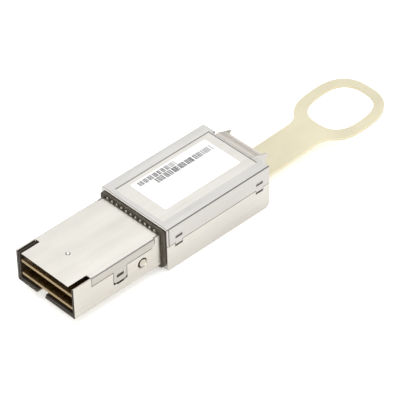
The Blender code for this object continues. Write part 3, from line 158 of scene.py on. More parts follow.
def principled(name, **values):
    """A new material and its shader; values set the shader's own sockets."""
    made = bpy.data.materials.new(name)
    made.use_nodes = True
    shader = made.node_tree.nodes["Principled BSDF"]
    for key, value in values.items():
        shader.inputs[key.replace("_", " ")].default_value = value
    return made, made.node_tree, shader


# Mesh helpers


def finished(bm, name, materials):
    """The mesh as a new piece at the origin, smooth but for its sharp edges."""
    mesh = bpy.data.meshes.new(name)
    bm.to_mesh(mesh)
    bm.free()
    for material in materials:
        mesh.materials.append(material)
    mesh.shade_smooth()
    mesh.set_sharp_from_angle(angle=SHARP_ANGLE)
    piece = bpy.data.objects.new(name, mesh)
    bpy.context.scene.collection.objects.link(piece)
    return piece


def applied(piece):
    """The piece with its modifiers turned into plain mesh."""
    graph = bpy.context.evaluated_depsgraph_get()
    mesh = bpy.data.meshes.new_from_object(piece.evaluated_get(graph))
    piece.modifiers.clear()
    piece.data = mesh
    return piece


def rounded(piece, edge, segments=2):
    """The piece with its sharp edges broken by a small radius."""
    rounding = piece.modifiers.new("edges", "BEVEL")
    rounding.width = edge
    rounding.segments = segments
    rounding.limit_method = "ANGLE"
    rounding.angle_limit = BEVEL_ANGLE
    rounding.use_clamp_overlap = True
    piece.modifiers.new("normals", "WEIGHTED_NORMAL").keep_sharp = True
    return applied(piece)


def merged_copy(node):
    """A CAD node's shape with its corners merged and its flat faces whole."""
    bm = bmesh.new()
    bm.from_mesh(frame["nodes"][node].data)
    bmesh.ops.remove_doubles(bm, verts=bm.verts, dist=MERGE)
    bmesh.ops.dissolve_limit(bm, angle_limit=FLAT_ANGLE, verts=bm.verts, edges=bm.edges)
    bm.normal_update()
    return bm


def mounted(piece, node):
    """The piece rides where the node rides."""
    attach(piece, BODIES[node])
    return piece


def refined(node, edge, materials, pick=None, shape=None, segments=2):
    """The node's shape with its sharp edges broken, standing for the node.

    shape changes the mesh first, and pick gives a face's material number.
    """
    bm = merged_copy(node)
    if shape:
        shape(bm)
        bm.normal_update()
    if pick:
        for face in bm.faces:
            face.material_index = pick(face)
    piece = rounded(finished(bm, node + "_finish", materials), edge, segments)
    mounted(piece, node)
    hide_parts(node)
    return piece


def grow(tree, name, starts, values):
    """What a Geometry Nodes tree makes at some points, as a plain piece. values are its named inputs."""
    mesh = bpy.data.meshes.new(name)
    mesh.from_pydata(starts, [], [])
    piece = bpy.data.objects.new(name, mesh)
    bpy.context.scene.collection.objects.link(piece)
    modifier = piece.modifiers.new("grow", "NODES")
    modifier.node_group = tree
    for item in tree.interface.items_tree:
        if item.in_out == "INPUT" and item.name in values:
            modifier[item.identifier] = values[item.name]
    return applied(piece)


def new_tree(name, **inputs):
    """An empty Geometry Nodes tree, and the sockets of its inputs, each given with its default."""
    tree = bpy.data.node_groups.new(name, "GeometryNodeTree")
    tree.interface.new_socket("Geometry", in_out="INPUT", socket_type="NodeSocketGeometry")
    tree.interface.new_socket("Geometry", in_out="OUTPUT", socket_type="NodeSocketGeometry")
    for key, default in inputs.items():
        label = key.replace("_", " ")
        kind = "NodeSocketInt" if isinstance(default, int) else "NodeSocketFloat"
        tree.interface.new_socket(label, in_out="INPUT", socket_type=kind).default_value = default
    return tree, tree.nodes.new("NodeGroupInput").outputs


def close_tree(tree, given, shape, material):
    """Ends a tree: the shape at each given point, made real and with its finish."""
    shapes = add_node(tree, ON_POINTS, Points=given["Geometry"], Instance=shape)
    real = add_node(tree, "GeometryNodeRealizeInstances", Geometry=shapes)
    done = add_node(tree, "GeometryNodeSetMaterial", Geometry=real, Material=material)
    end = tree.nodes.new("NodeGroupOutput")
    tree.links.new(first(done), end.inputs["Geometry"])
    return tree


def row_of(tree, given, shape, **placed):
    """The shape in a row of Count along Y, one Pitch apart."""
    step = add_node(tree, XYZ, Y=given["Pitch"])
    line = add_node(tree, "GeometryNodeMeshLine", Count=given["Count"], Offset=step)
    return add_node(tree, ON_POINTS, Points=line, Instance=shape, **placed)


def half_row(sizes):
    """From the middle of a row to its first member."""
    return (sizes.count - 1) / 2 * sizes.pitch


def by_input(sizes):
    """A group's sizes, by the names of the tree inputs that take them."""
    return {key.capitalize(): getattr(sizes, key) for key in type(sizes).__annotations__}


# Finishes


def pattern(tree, kind, size, stretch=(1.0, 1.0, 1.0), settings=None, **inputs):
    """A texture's value on object coordinates. size is its cell in metres; stretch squeezes its axes."""
    place = add_node(tree, "ShaderNodeTexCoord")
    mapped = add_node(tree, "ShaderNodeMapping", Vector=place.outputs["Object"], Scale=stretch)
    return first(add_node(tree, kind, settings, Vector=mapped, Scale=1 / size, **inputs))


def tint(tree, shader, value, low, high, span=(0.3, 0.7)):
    """Base colour from low to high as the value crosses its span."""
    share = add_node(tree, "ShaderNodeMapRange", Value=value, From_Min=span[0], From_Max=span[1])
    colours = {"A": rgba(low), "B": rgba(high)}
    mix = add_node(tree, "ShaderNodeMix", {"data_type": "RGBA"}, Factor=share, **colours)
    tree.links.new(first(mix), shader.inputs["Base Color"])


def darker(colour, share):
    """A linear colour with a share of its light."""
    return (*[share * value for value in colour[:3]], 1.0)


def gloss(tree, shader, value, low, high):
    """Roughness from low to high as the value crosses the middle of its range."""
    ends = {"From_Min": 0.3, "From_Max": 0.7, "To_Min": low, "To_Max": high}
    share = add_node(tree, "ShaderNodeMapRange", Value=value, **ends)
    tree.links.new(first(share), shader.inputs["Roughness"])


def relief(tree, shader, value, depth):
    """Bumps from a value between 0 and 1. depth is their full height in metres."""
    bumps = add_node(tree, "ShaderNodeBump", Height=value, Distance=depth, Strength=1.0)
    tree.links.new(first(bumps), shader.inputs["Normal"])


def stamped_stainless(name, low, high, rough, streak=0.7 * MM):
    """Cold-rolled stainless strip, stamped and folded.

    Rolling leaves fine streaks along the part and handling leaves broad faint clouds, so reflections are
    satin and a little uneven. The streaks are drawn about ten times coarser than real ones, to show at all.
    """
    material, tree, shader = principled(name, Metallic=1.0)
    streaks = pattern(tree, NOISE, streak, (0.05, 1.0, 1.0), Detail=4.0, Roughness=0.6)
    clouds = pattern(tree, NOISE, 8 * MM, (0.5, 1.0, 1.0), Detail=3.0)
    both = first(add_node(tree, "ShaderNodeMix", Factor=0.45, A=streaks, B=clouds))
    tint(tree, shader, both, low, high)
    gloss(tree, shader, both, *rough)
    relief(tree, shader, streaks, 0.002 * MM)
    return material


def tumbled_steel(name, low, high, rough):
    """Stamped or drawn spring steel, tumbled to take its burrs off: grey, with soft mottling."""
    material, tree, shader = principled(name, Metallic=1.0)
    mottle = pattern(tree, NOISE, 0.6 * MM, Detail=5.0, Roughness=0.65)
    tint(tree, shader, mottle, low, high)
    gloss(tree, shader, mottle, *rough)
    relief(tree, shader, mottle, 0.004 * MM)
    return material


def cast_zinc():
    """Die-cast zinc, as cast: dull grey skin with a fine orange peel."""
    material, tree, shader = principled("as_cast_zinc", Metallic=1.0)
    skin = pattern(tree, NOISE, 0.9 * MM, Detail=6.0, Roughness=0.7)
    tint(tree, shader, skin, "9A9894", "BAB8B3")
    gloss(tree, shader, skin, 0.4, 0.62)
    relief(tree, shader, skin, 0.02 * MM)
    return material


def moulded_plastic(name, low, high, rough, grain=0.35 * MM):
    """Injection-moulded engineering plastic: even colour, with the fine grain of a spark-eroded mould."""
    material, tree, shader = principled(name, IOR=1.55)
    flow = pattern(tree, NOISE, 5 * MM, (0.4, 1.0, 1.0), Detail=2.0)
    skin = pattern(tree, NOISE, grain, Detail=3.0)
    tint(tree, shader, flow, low, high)
    gloss(tree, shader, skin, *rough)
    relief(tree, shader, skin, 0.008 * MM)
    return material


def ivory_elastomer(colour):
    """Translucent ivory thermoplastic, moulded: a satin skin that lets some light through its thin edges."""
    material, tree, shader = principled("translucent_ivory_thermoplastic", IOR=1.5, Subsurface_Weight=0.25)
    shader.inputs["Subsurface Radius"].default_value = (1.0, 0.8, 0.45)
    shader.inputs["Subsurface Scale"].default_value = 0.6 * MM
    cloud = pattern(tree, NOISE, 11 * MM, Detail=2.0)
    skin = pattern(tree, NOISE, 0.5 * MM, Detail=3.0)
    tint(tree, shader, cloud, darker(colour, 0.88), colour)
    gloss(tree, shader, skin, 0.36, 0.52)
    relief(tree, shader, skin, 0.005 * MM)
    return material


def gasket_knit():
    """Nickel-plated knit over foam: dark brown-grey, with bright flecks where threads catch the light."""
    material, tree, shader = principled("conductive_knit_over_foam", IOR=1.5)
    knit = pattern(tree, "ShaderNodeTexVoronoi", 0.35 * MM, (1.0, 1.0, 1.6))
    fleck = pattern(tree, NOISE, 0.3 * MM, Detail=2.0)
    tint(tree, shader, fleck, "433D33", "908A7C", span=(0.56, 0.74))
    gloss(tree, shader, knit, 0.6, 0.95)
    relief(tree, shader, knit, 0.06 * MM)
    return material


def solder_mask():
    """Matte solder mask on a glass-epoxy card: olive brown, darkened by painted shade, faintly mottled by the
    weave under it.
    """
    material, tree, shader = principled("matte_solder_mask", IOR=1.5)
    weave = pattern(tree, "ShaderNodeTexVoronoi", 0.5 * MM, (1.0, 1.0, 0.2))
    # the mask's colour is darkened by painted shade
    tint(tree, shader, weave, "3A2A12", "4E3A1A")
    gloss(tree, shader, weave, 0.4, 0.55)
    relief(tree, shader, weave, 0.01 * MM)
    return material


def laminate_edge():
    """The cut edge of a glass-epoxy card: tan glass layers, drawn about four to the card's thickness."""
    material, tree, shader = principled("glass_epoxy_edge", IOR=1.55)
    wave = {"bands_direction": "Z"}
    layers = pattern(tree, "ShaderNodeTexWave", 0.7 * MM, settings=wave, Distortion=0.6, Detail=2.0)
    tint(tree, shader, layers, "6E5A3A", "C0A674", span=(0.2, 0.8))
    gloss(tree, shader, layers, 0.45, 0.6)
    relief(tree, shader, layers, 0.02 * MM)
    return material


def hard_gold():
    """Hard gold over nickel, on the contact pads: warm, darkened by painted shade, with faint wear tracks
    along the part.
    """
    material, tree, shader = principled("hard_gold_plating", Metallic=1.0)
    wear = pattern(tree, NOISE, 0.2 * MM, (0.05, 1.0, 1.0), Detail=3.0)
    # the gold's colour is darkened by painted shade
    tint(tree, shader, wear, "96743A", "B48F50")
    gloss(tree, shader, wear, 0.2, 0.36)
    return material


def label_film(colour):
    """White polyester label film: a satin, barely pebbled face that stays white at every angle."""
    material, tree, shader = principled("white_polyester_film", IOR=1.57)
    pebble = pattern(tree, NOISE, 0.4 * MM, Detail=3.0)
    tint(tree, shader, pebble, darker(colour, 0.96), colour)
    gloss(tree, shader, pebble, 0.45, 0.6)
    relief(tree, shader, pebble, 0.003 * MM)
    return material


def transfer_ink(colour):
    """Thermal-transfer wax on the label: dark grey bars whose strength varies, by the attribute shade."""
    material, tree, shader = principled("thermal_transfer_ink", IOR=1.48)
    shade = add_node(tree, "ShaderNodeAttribute", {"attribute_name": "shade"})
    wax = pattern(tree, NOISE, 0.15 * MM, Detail=2.0)
    strength = add_node(tree, MATH, TIMES_PLUS, i0=wax, i1=0.1, i2=shade.outputs["Fac"])
    tint(tree, shader, first(strength), colour, "F0F0F1", span=(0.0, 1.0))
    gloss(tree, shader, wax, 0.4, 0.6)
    return material


def fibre_coating():
    """Acrylate-coated fibre ribbon: twelve glossy fibres side by side, a quarter of a millimetre apart."""
    material, tree, shader = principled("acrylate_fibre_ribbon", IOR=1.5)
    wave = {"bands_direction": "Y"}
    fibres = pattern(tree, "ShaderNodeTexWave", 1.57 * MM, settings=wave, Distortion=0.0)
    tint(tree, shader, fibres, "5F9CB2", "9CCAD8", span=(0.0, 1.0))
    gloss(tree, shader, fibres, 0.4, 0.22)
    relief(tree, shader, fibres, 0.04 * MM)
    return material


def fibre_glass():
    """Polished silica fibre ends: pale glassy dots on the ferrule's face."""
    polish = {"Coat_Weight": 0.6, "Coat_Roughness": 0.05}
    material, tree, shader = principled("polished_silica_fibre", IOR=1.46, **polish)
    core = pattern(tree, NOISE, 0.1 * MM, Detail=1.0)
    tint(tree, shader, core, "BFD3DC", "EAF4F8")
    gloss(tree, shader, core, 0.06, 0.14)
    return material


def amber_optics():
    """Moulded amber optical polymer: glossy, deep honey colour, with faint flow in it."""
    skin = {"Coat_Weight": 0.4, "Coat_Roughness": 0.08}
    material, tree, shader = principled("amber_optical_polymer", IOR=1.64, **skin)
    flow = pattern(tree, NOISE, 1.5 * MM, Detail=2.0)
    tint(tree, shader, flow, "A9702C", "D19A4C")
    gloss(tree, shader, flow, 0.1, 0.2)
    return material


def gap_pad():
    """Soft silicone gap pad: matte blue-grey with pale specks of ceramic filler."""
    material, tree, shader = principled("silicone_gap_pad", IOR=1.45)
    filler = pattern(tree, NOISE, 0.25 * MM, Detail=4.0)
    tint(tree, shader, filler, "8495A5", "B9C6D0", span=(0.5, 0.75))
    gloss(tree, shader, filler, 0.7, 0.9)
    relief(tree, shader, filler, 0.03 * MM)
    return material


FINISHES = {}
RECIPES = {
    "nose_cover": (stamped_stainless, "bright_rolled_stainless", "DCD9D1", "EAE7E0", (0.3, 0.4), 3.0 * MM),
    # the nose cover's finish, darker for its side faces: painted shade
    "shaded_nose_flange": (stamped_stainless, "grey_rolled_stainless", "B1AEA7", "BDBAB3", (0.28, 0.42)),
    "nose_shell": (stamped_stainless, "warm_rolled_stainless", "C3BFB7", "D1CEC5", (0.28, 0.42)),
    "body_cover": (stamped_stainless, "satin_rolled_stainless", "D0CFCC", "DDDBD7", (0.3, 0.44), 1.0 * MM),
    # the rear cover's finish, darker for its side faces and the shroud's: painted shade
    "body_flange": (stamped_stainless, "pale_satin_stainless", "BAB8B4", "C5C2BE", (0.3, 0.44), 1.0 * MM),
    "label_panel": (stamped_stainless, "pressed_panel_stainless", "DFDCD6", "EAE7E1", (0.3, 0.44), 1.0 * MM),
    "body_shell": (stamped_stainless, "warm_satin_stainless", "C5C1BC", "D0CEC6", (0.3, 0.44), 1.0 * MM),
    "shroud": (stamped_stainless, "rosy_satin_stainless", "DCD6CE", "E8E2DA", (0.4, 0.55)),
    # dark painted shade on the sunk panel's step and the dimple's flanks
    "crease": (stamped_stainless, "pressed_crease_stainless", "8B8883", "A19E98", (0.4, 0.5)),
    # near-black painted shade on the cut edges around the nose's mouth
    "sheared": (stamped_stainless, "sheared_dull_edge", "241D13", "3A3125", (0.5, 0.65), 0.4 * MM),
    # darker copies for the strips along the covers' bends: painted shade
    "bend": (stamped_stainless, "folded_bend_stainless", "838280", "959390", (0.4, 0.5)),
    "soft_bend": (stamped_stainless, "rounded_bend_stainless", "8E8C89", "A09E9A", (0.4, 0.5)),
    "tooth": (tumbled_steel, "bright_tumbled_steel", "B4AEA2", "CAC4B8", (0.25, 0.35)),
    "retainer": (stamped_stainless, "thin_spring_stainless", "CFCBC0", "E6E3D9", (0.25, 0.4), 0.4 * MM),
    "latch": (tumbled_steel, "tumbled_latch_steel", "A6A39C", "C9C6BE", (0.28, 0.45)),
    "spring": (tumbled_steel, "drawn_spring_wire", "9A9A98", "BDBDBA", (0.22, 0.35)),
    "rivet": (tumbled_steel, "headed_rivet_steel", "A7A59F", "C4C1BA", (0.28, 0.42)),
    "pin": (tumbled_steel, "ground_pin_steel", "BDBDBB", "D3D3D1", (0.12, 0.22)),
    "zinc": (cast_zinc,),
    "guide": (moulded_plastic, "liquid_crystal_polymer", "231A10", "32271A", (0.45, 0.6)),
    "nylon": (moulded_plastic, "connector_nylon", "1B1712", "2A241C", (0.45, 0.6)),
    "port": (moulded_plastic, "black_port_thermoplastic", "1B1A19", "2A2827", (0.38, 0.55)),
    "ferrule": (moulded_plastic, "glass_filled_polyphenylene", "3E3E3C", "565653", (0.4, 0.6), 0.2 * MM),
    "epoxy": (moulded_plastic, "moulded_epoxy_package", "161618", "242427", (0.42, 0.58), 0.2 * MM),
    "ivory": (ivory_elastomer, "tab"),
    "gasket": (gasket_knit,),
    "mask": (solder_mask,),
    "laminate": (laminate_edge,),
    "gold": (hard_gold,),
    "label": (label_film, "label"),
    "ink": (transfer_ink, "ink"),
    "ribbon": (fibre_coating,),
    "glass": (fibre_glass,),
    "lens": (amber_optics,),
    "pad": (gap_pad,),
}


class TRANSCEIVER_colours(bpy.types.PropertyGroup):
    tab: FloatVectorProperty(
        name="Pull tab", description="Colour of tab and ring", subtype="COLOR", size=4, default=rgba("DCD5B9")
    )
    label: FloatVectorProperty(
        name="Label", description="Colour of its film", subtype="COLOR", size=4, default=rgba("FFFFFF")
    )
    ink: FloatVectorProperty(
        name="Ink", description="Colour of the printed bars", subtype="COLOR", size=4, default=rgba("232225")
    )


def made_of(name):
    """The named finish, made when it is first asked for. A recipe may name one of the user's colours."""
    if name not in FINISHES:
        maker, *arguments = RECIPES[name]
        colours = bpy.context.scene.transceiver_colours
        choices = TRANSCEIVER_colours.__annotations__
        FINISHES[name] = maker(*[getattr(colours, a) if a in choices else a for a in arguments])
    return FINISHES[name]


# Nose


class TRANSCEIVER_edges(bpy.types.PropertyGroup):
    sheet: FloatProperty(
        name="Sheet edges", description="Radius of sheets' tumbled edges", default=0.05 * MM, unit="LENGTH"
    )
    moulded: FloatProperty(
        name="Moulded edges", description="Radius of plastic parts' edges", default=0.1 * MM, unit="LENGTH"
    )
    tab: FloatProperty(
        name="Tab edges", description="Radius along the pull tab's outline", default=0.3 * MM, unit="LENGTH"
    )
    card: FloatProperty(
        name="Card edges", description="Radius of the cards' cut edges", default=0.04 * MM, unit="LENGTH"
    )
    label: FloatProperty(
        name="Label edges", description="Radius of the label's edges", default=0.02 * MM, unit="LENGTH"
    )


class TRANSCEIVER_OT_nose(bpy.types.Operator):
    """The plug nose: folded lower shell, top cover and the dark guide in its mouth"""

    bl_idname = "transceiver.nose"
    bl_label = "Plug nose"

    def execute(self, context):
        edges = context.scene.transceiver_edges
        shell = [made_of("nose_shell"), made_of("sheared")]
        refined("nose_lower_shell", edges.sheet, shell, pick=shaded_cut_front, shape=dish_latch_holes)
        names = ("nose_cover", "sheared", "shaded_nose_flange", "crease", "soft_bend")
        cover = [made_of(name) for name in names]
        refined("nose_top_cover", edges.sheet, cover, pick=nose_cover_part, shape=slope_dimple)
        refined("card_guide", edges.moulded, [made_of("guide")])
        return {"FINISHED"}


def on_the_side(face):
    """Material number 1 for faces that look sideways, which take a darker copy of the finish: painted shade.
    """
    return 1 if abs(face.normal.y) > SIDEWAYS else 0


def shaded_cut_front(face):
    """Material number 1 for the sheet's cut edges around the nose's mouth, which take a near-black painted
    shade.
    """
    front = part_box("nose_lower_shell")[0].x + MOUTH_DEPTH
    return 1 if face.normal.x < -0.9 and face.calc_center_median().x < front else 0


def mark_bends(bm):
    """Cuts a narrow strip along both sides of a folded cover's bends, for painted shade."""
    y = max(v.co.y for v in bm.verts) - BEND_WIDTH
    z = max(v.co.z for v in bm.verts) - BEND_WIDTH
    for place, across in (((0, y, 0), (0, 1, 0)), ((0, -y, 0), (0, 1, 0)), ((0, 0, z), (0, 0, 1))):
        parts = [*bm.verts, *bm.edges, *bm.faces]
        bmesh.ops.bisect_plane(bm, geom=parts, plane_co=place, plane_no=across, dist=MERGE)


def on_bend(node, face):
    """Whether a face of a folded cover belongs to the strips along its bends."""
    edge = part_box(node)[1] - Vector((0, BEND_WIDTH, BEND_WIDTH))
    middle = face.calc_center_median()
    return abs(middle.y) > edge.y and middle.z > edge.z and abs(face.normal.x) < 0.5


def dish_latch_holes(bm):
    """Draws the inner rim of each latch hole in to its tooth, so that the hole's wall slopes."""
    low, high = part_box("latch_tooth_left")
    axis = (low + high).xz / 2
    radius = (high.z - low.z) / 2 + HOLE_PLAY
    for vertex in bm.verts:
        out = vertex.co.xz - axis
        if out.length < HOLE_REACH and abs(vertex.co.y) < high.y - HOLE_OUTER:
            vertex.co.xz = axis + out.normalized() * radius


def near_dimple(point):
    """Whether a point lies within reach of the dimple's middle."""
    return (point.xy - DIMPLE).length < DIMPLE_REACH


def slope_dimple(bm):
    """Draws the punched dimple's floor in, so that its wall slopes, and marks the bends."""
    mark_bends(bm)
    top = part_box("nose_top_cover")[1].z
    for vertex in bm.verts:
        if near_dimple(vertex.co) and DIMPLE_DEPTHS[0] < top - vertex.co.z < DIMPLE_DEPTHS[1]:
            vertex.co.xy = DIMPLE + (vertex.co.xy - DIMPLE) * DIMPLE_DRAW


def nose_cover_part(face):
    """Material number of a face of the nose's cover: top, or the cut front, flange, shaded dimple flank or
    bend strip, which all take painted shade.
    """
    if shaded_cut_front(face):
        return 1
    if on_bend("nose_top_cover", face):
        return 4
    # The flanks that face +X and +Y, or -X and -Y, alike catch the light and stay bright; the dimple's other
    # flanks take painted shade.
    sloped = 0.3 < face.normal.z < 0.995 and abs(face.normal.x - face.normal.y) > 0.12
    if sloped and near_dimple(face.calc_center_median()):
        return 3
    # side faces take the darker copy of the cover's finish, painted shade
    return 2 if face.normal.z < 0.5 and abs(face.normal.y) > 0.5 else 0


# Rear body


class TRANSCEIVER_OT_body(bpy.types.Operator):
    """The rear body: cast frame, folded lower shell and the cover with its sunk label panel"""

    bl_idname = "transceiver.body"
    bl_label = "Rear body"

    def execute(self, context):
        edges = context.scene.transceiver_edges
        refined("rear_lower_shell", edges.sheet, [made_of("body_shell")])
        names = ("body_cover", "body_flange", "label_panel", "crease", "bend")
        covers = [made_of(name) for name in names]
        refined("rear_top_cover", edges.sheet, covers, pick=cover_part, shape=slope_panel)
        refined("chassis_frame", edges.moulded, [made_of("zinc")])
        return {"FINISHED"}


def slope_panel(bm):
    """Draws the sunk panel's floor in all round, so that its pressed step slopes, and marks the bends."""
    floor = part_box("rear_top_cover")[1].z - PANEL_DEPTH
    corners = [v for v in bm.verts if abs(v.co.z - floor) < LEVEL]
    mark_bends(bm)
    for axis in (0, 1):
        middle = (min(v.co[axis] for v in corners) + max(v.co[axis] for v in corners)) / 2
        for vertex in corners:
            vertex.co[axis] -= math.copysign(PANEL_SLOPE, vertex.co[axis] - middle)


def cover_part(face):
    """Material number of a face of the rear cover: top, flange, sunk panel, its step's sides or bend; flange,
    step's sides and bend strips take painted shade.
    """
    if on_bend("rear_top_cover", face):
        return 4
    # side faces take the darker copy of the cover's finish, painted shade
    if face.normal.z < 0.5:
        return 1
    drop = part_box("rear_top_cover")[1].z - face.calc_center_median().z
    if drop < LEVEL:
        return 0
    # the step's sides that face -X or -Y take painted shade
    if drop < PANEL_DEPTH - LEVEL and min(face.normal.x, face.normal.y) < -0.2:
        return 3
    return 2 if drop < 2 * PANEL_DEPTH else 1


# Gasket


class TRANSCEIVER_gasket(bpy.types.PropertyGroup):
    count: IntProperty(name="Fingers", description="Spring fingers on the nose's top", default=11)
    pitch: FloatProperty(
        name="Pitch", description="From one finger to the next", default=1.8 * MM, unit="LENGTH"
    )
    width: FloatProperty(name="Width", description="Width of a finger", default=0.8 * MM, unit="LENGTH")
    height: FloatProperty(
        name="Height",
        description="From the retainer's rim to a finger's tip",
        default=1.0 * MM,
        unit="LENGTH",
    )


class TRANSCEIVER_OT_gasket(bpy.types.Operator):
    """The conductive gasket between nose and body, and the thin retainer with its spring fingers"""

    bl_idname = "transceiver.gasket"
    bl_label = "Gasket"

    def execute(self, context):
        edges = context.scene.transceiver_edges
        refined("emi_gasket", 3 * edges.moulded, [made_of("gasket")], segments=3)
        make_retainer(context.scene.transceiver_gasket)
        return {"FINISHED"}


def make_retainer(sizes):
    """A flat rim around the neck, with rounded fingers that stand up from its top edge."""
    low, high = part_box("gasket_retainer")
    rim = merged_copy("gasket_retainer")
    top = high.z - sizes.height - RIM_TRIM
    parts = [*rim.verts, *rim.edges, *rim.faces]
    bmesh.ops.bisect_plane(rim, geom=parts, plane_co=(0, 0, top), plane_no=(0, 0, 1), clear_outer=True)
    bmesh.ops.holes_fill(rim, edges=rim.edges, sides=0)
    bmesh.ops.dissolve_limit(rim, angle_limit=FLAT_ANGLE, verts=rim.verts, edges=rim.edges)
    piece = finished(rim, "gasket_retainer_finish", [made_of("retainer")])
    mounted(piece, "gasket_retainer")
    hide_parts("gasket_retainer")
    start = (low.x + FINGER_INSET, -half_row(sizes), top)
    fingers = grow(finger_tree(made_of("retainer")), "gasket_fingers", [start], by_input(sizes))
    mounted(fingers, "gasket_retainer")


def finger_tree(material):
    """A row of flat fingers with round tips, along Y, from each given point."""
    tree, given = new_tree(
        "spring_fingers",
        Count=11,
        Pitch=1.8 * MM,
        Width=0.8 * MM,
        Height=1.0 * MM,
        Sheet=0.18 * MM,
    )
    outline = add_node(tree, "GeometryNodeCurvePrimitiveCircle", Resolution=24, Radius=1.0)
    position = add_node(tree, "GeometryNodeInputPosition")
    parts = add_node(tree, "ShaderNodeSeparateXYZ", Vector=position)
    half = add_node(tree, MATH, TIMES, i0=given["Width"], i1=0.5)
    across = add_node(tree, MATH, TIMES, i0=parts.outputs["X"], i1=half)
    span = {"From_Min": -0.2, "From_Max": 1.0, "To_Max": given["Height"]}
    share = add_node(tree, "ShaderNodeMapRange", Value=parts.outputs["Y"], **span)
    place = add_node(tree, XYZ, X=across, Y=share)
    shaped = add_node(tree, "GeometryNodeSetPosition", Geometry=outline, Position=place)
    face = add_node(tree, "GeometryNodeFillCurve", Curve=shaped)
    thick = add_node(tree, XYZ, Z=given["Sheet"])
    solid = add_node(tree, "GeometryNodeExtrudeMesh", Mesh=face, Offset=thick, Individual=False)
    whole = add_node(tree, "GeometryNodeJoinGeometry", Geometry=solid)
    back = add_node(tree, "GeometryNodeFlipFaces", Mesh=face)
    tree.links.new(first(back), whole.inputs["Geometry"])
    closed = add_node(tree, "GeometryNodeMergeByDistance", Geometry=whole, Distance=MERGE)
    facing_x = (math.pi / 2, 0.0, math.pi / 2)
    upright = add_node(tree, "GeometryNodeTransform", Geometry=closed, Rotation=facing_x)
    return close_tree(tree, given, row_of(tree, given, upright), material)


# Label


class TRANSCEIVER_label(bpy.types.PropertyGroup):
    code_height: FloatProperty(
        name="Code height", description="Height of the row of thin bars", default=2.1 * MM, unit="LENGTH"
    )
    block_height: FloatProperty(
        name="Block height", description="Height of the row of short blocks", default=1.8 * MM, unit="LENGTH"
    )
    ink: FloatProperty(
        name="Ink thickness", description="Thickness of the printed bars", default=0.012 * MM, unit="LENGTH"
    )
    seed: IntProperty(name="Seed", description="Draws another generic row of bars", default=4)


ROW_STARTS = {  # behind the label's front edge, and the row's middle in Y
    "label_blocks": (1.6 * MM, 6.1 * MM),
    "label_code": (5.9 * MM, 4.0 * MM),
}
PRINTED_ROWS = {
    "label_blocks": {
        "Length": 13.4 * MM,
        "Group": 3,
        "Bar": 0.3 * MM,
        "Gap": 0.08 * MM,
        "Group Gap": 0.2 * MM,
        "Darkest": 0.05,
        "Palest": 0.3,
    },
    "label_code": {
        "Length": 20.3 * MM,
        "Group": 5,
        "Bar": 0.3 * MM,
        "Gap": 0.11 * MM,
        "Group Gap": 0.2 * MM,
        "Darkest": -0.1,
        "Palest": 0.3,
    },
}


class TRANSCEIVER_OT_label(bpy.types.Operator):
    """The white label and its two rows of generic printed bars"""

    bl_idname = "transceiver.label"
    bl_label = "Label"

    def execute(self, context):
        sizes = context.scene.transceiver_label
        refined("label", context.scene.transceiver_edges.label, [made_of("label")])
        low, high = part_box("label")
        tree = bar_tree(made_of("ink"))
        heights = {"label_blocks": sizes.block_height, "label_code": sizes.code_height}
        for name, (behind, y) in ROW_STARTS.items():
            given = {"Height": heights[name], "Thickness": sizes.ink, "Seed": sizes.seed}
            start = (low.x + behind, y, high.z)
            mounted(grow(tree, name, [start], PRINTED_ROWS[name] | given), "label")
        return {"FINISHED"}


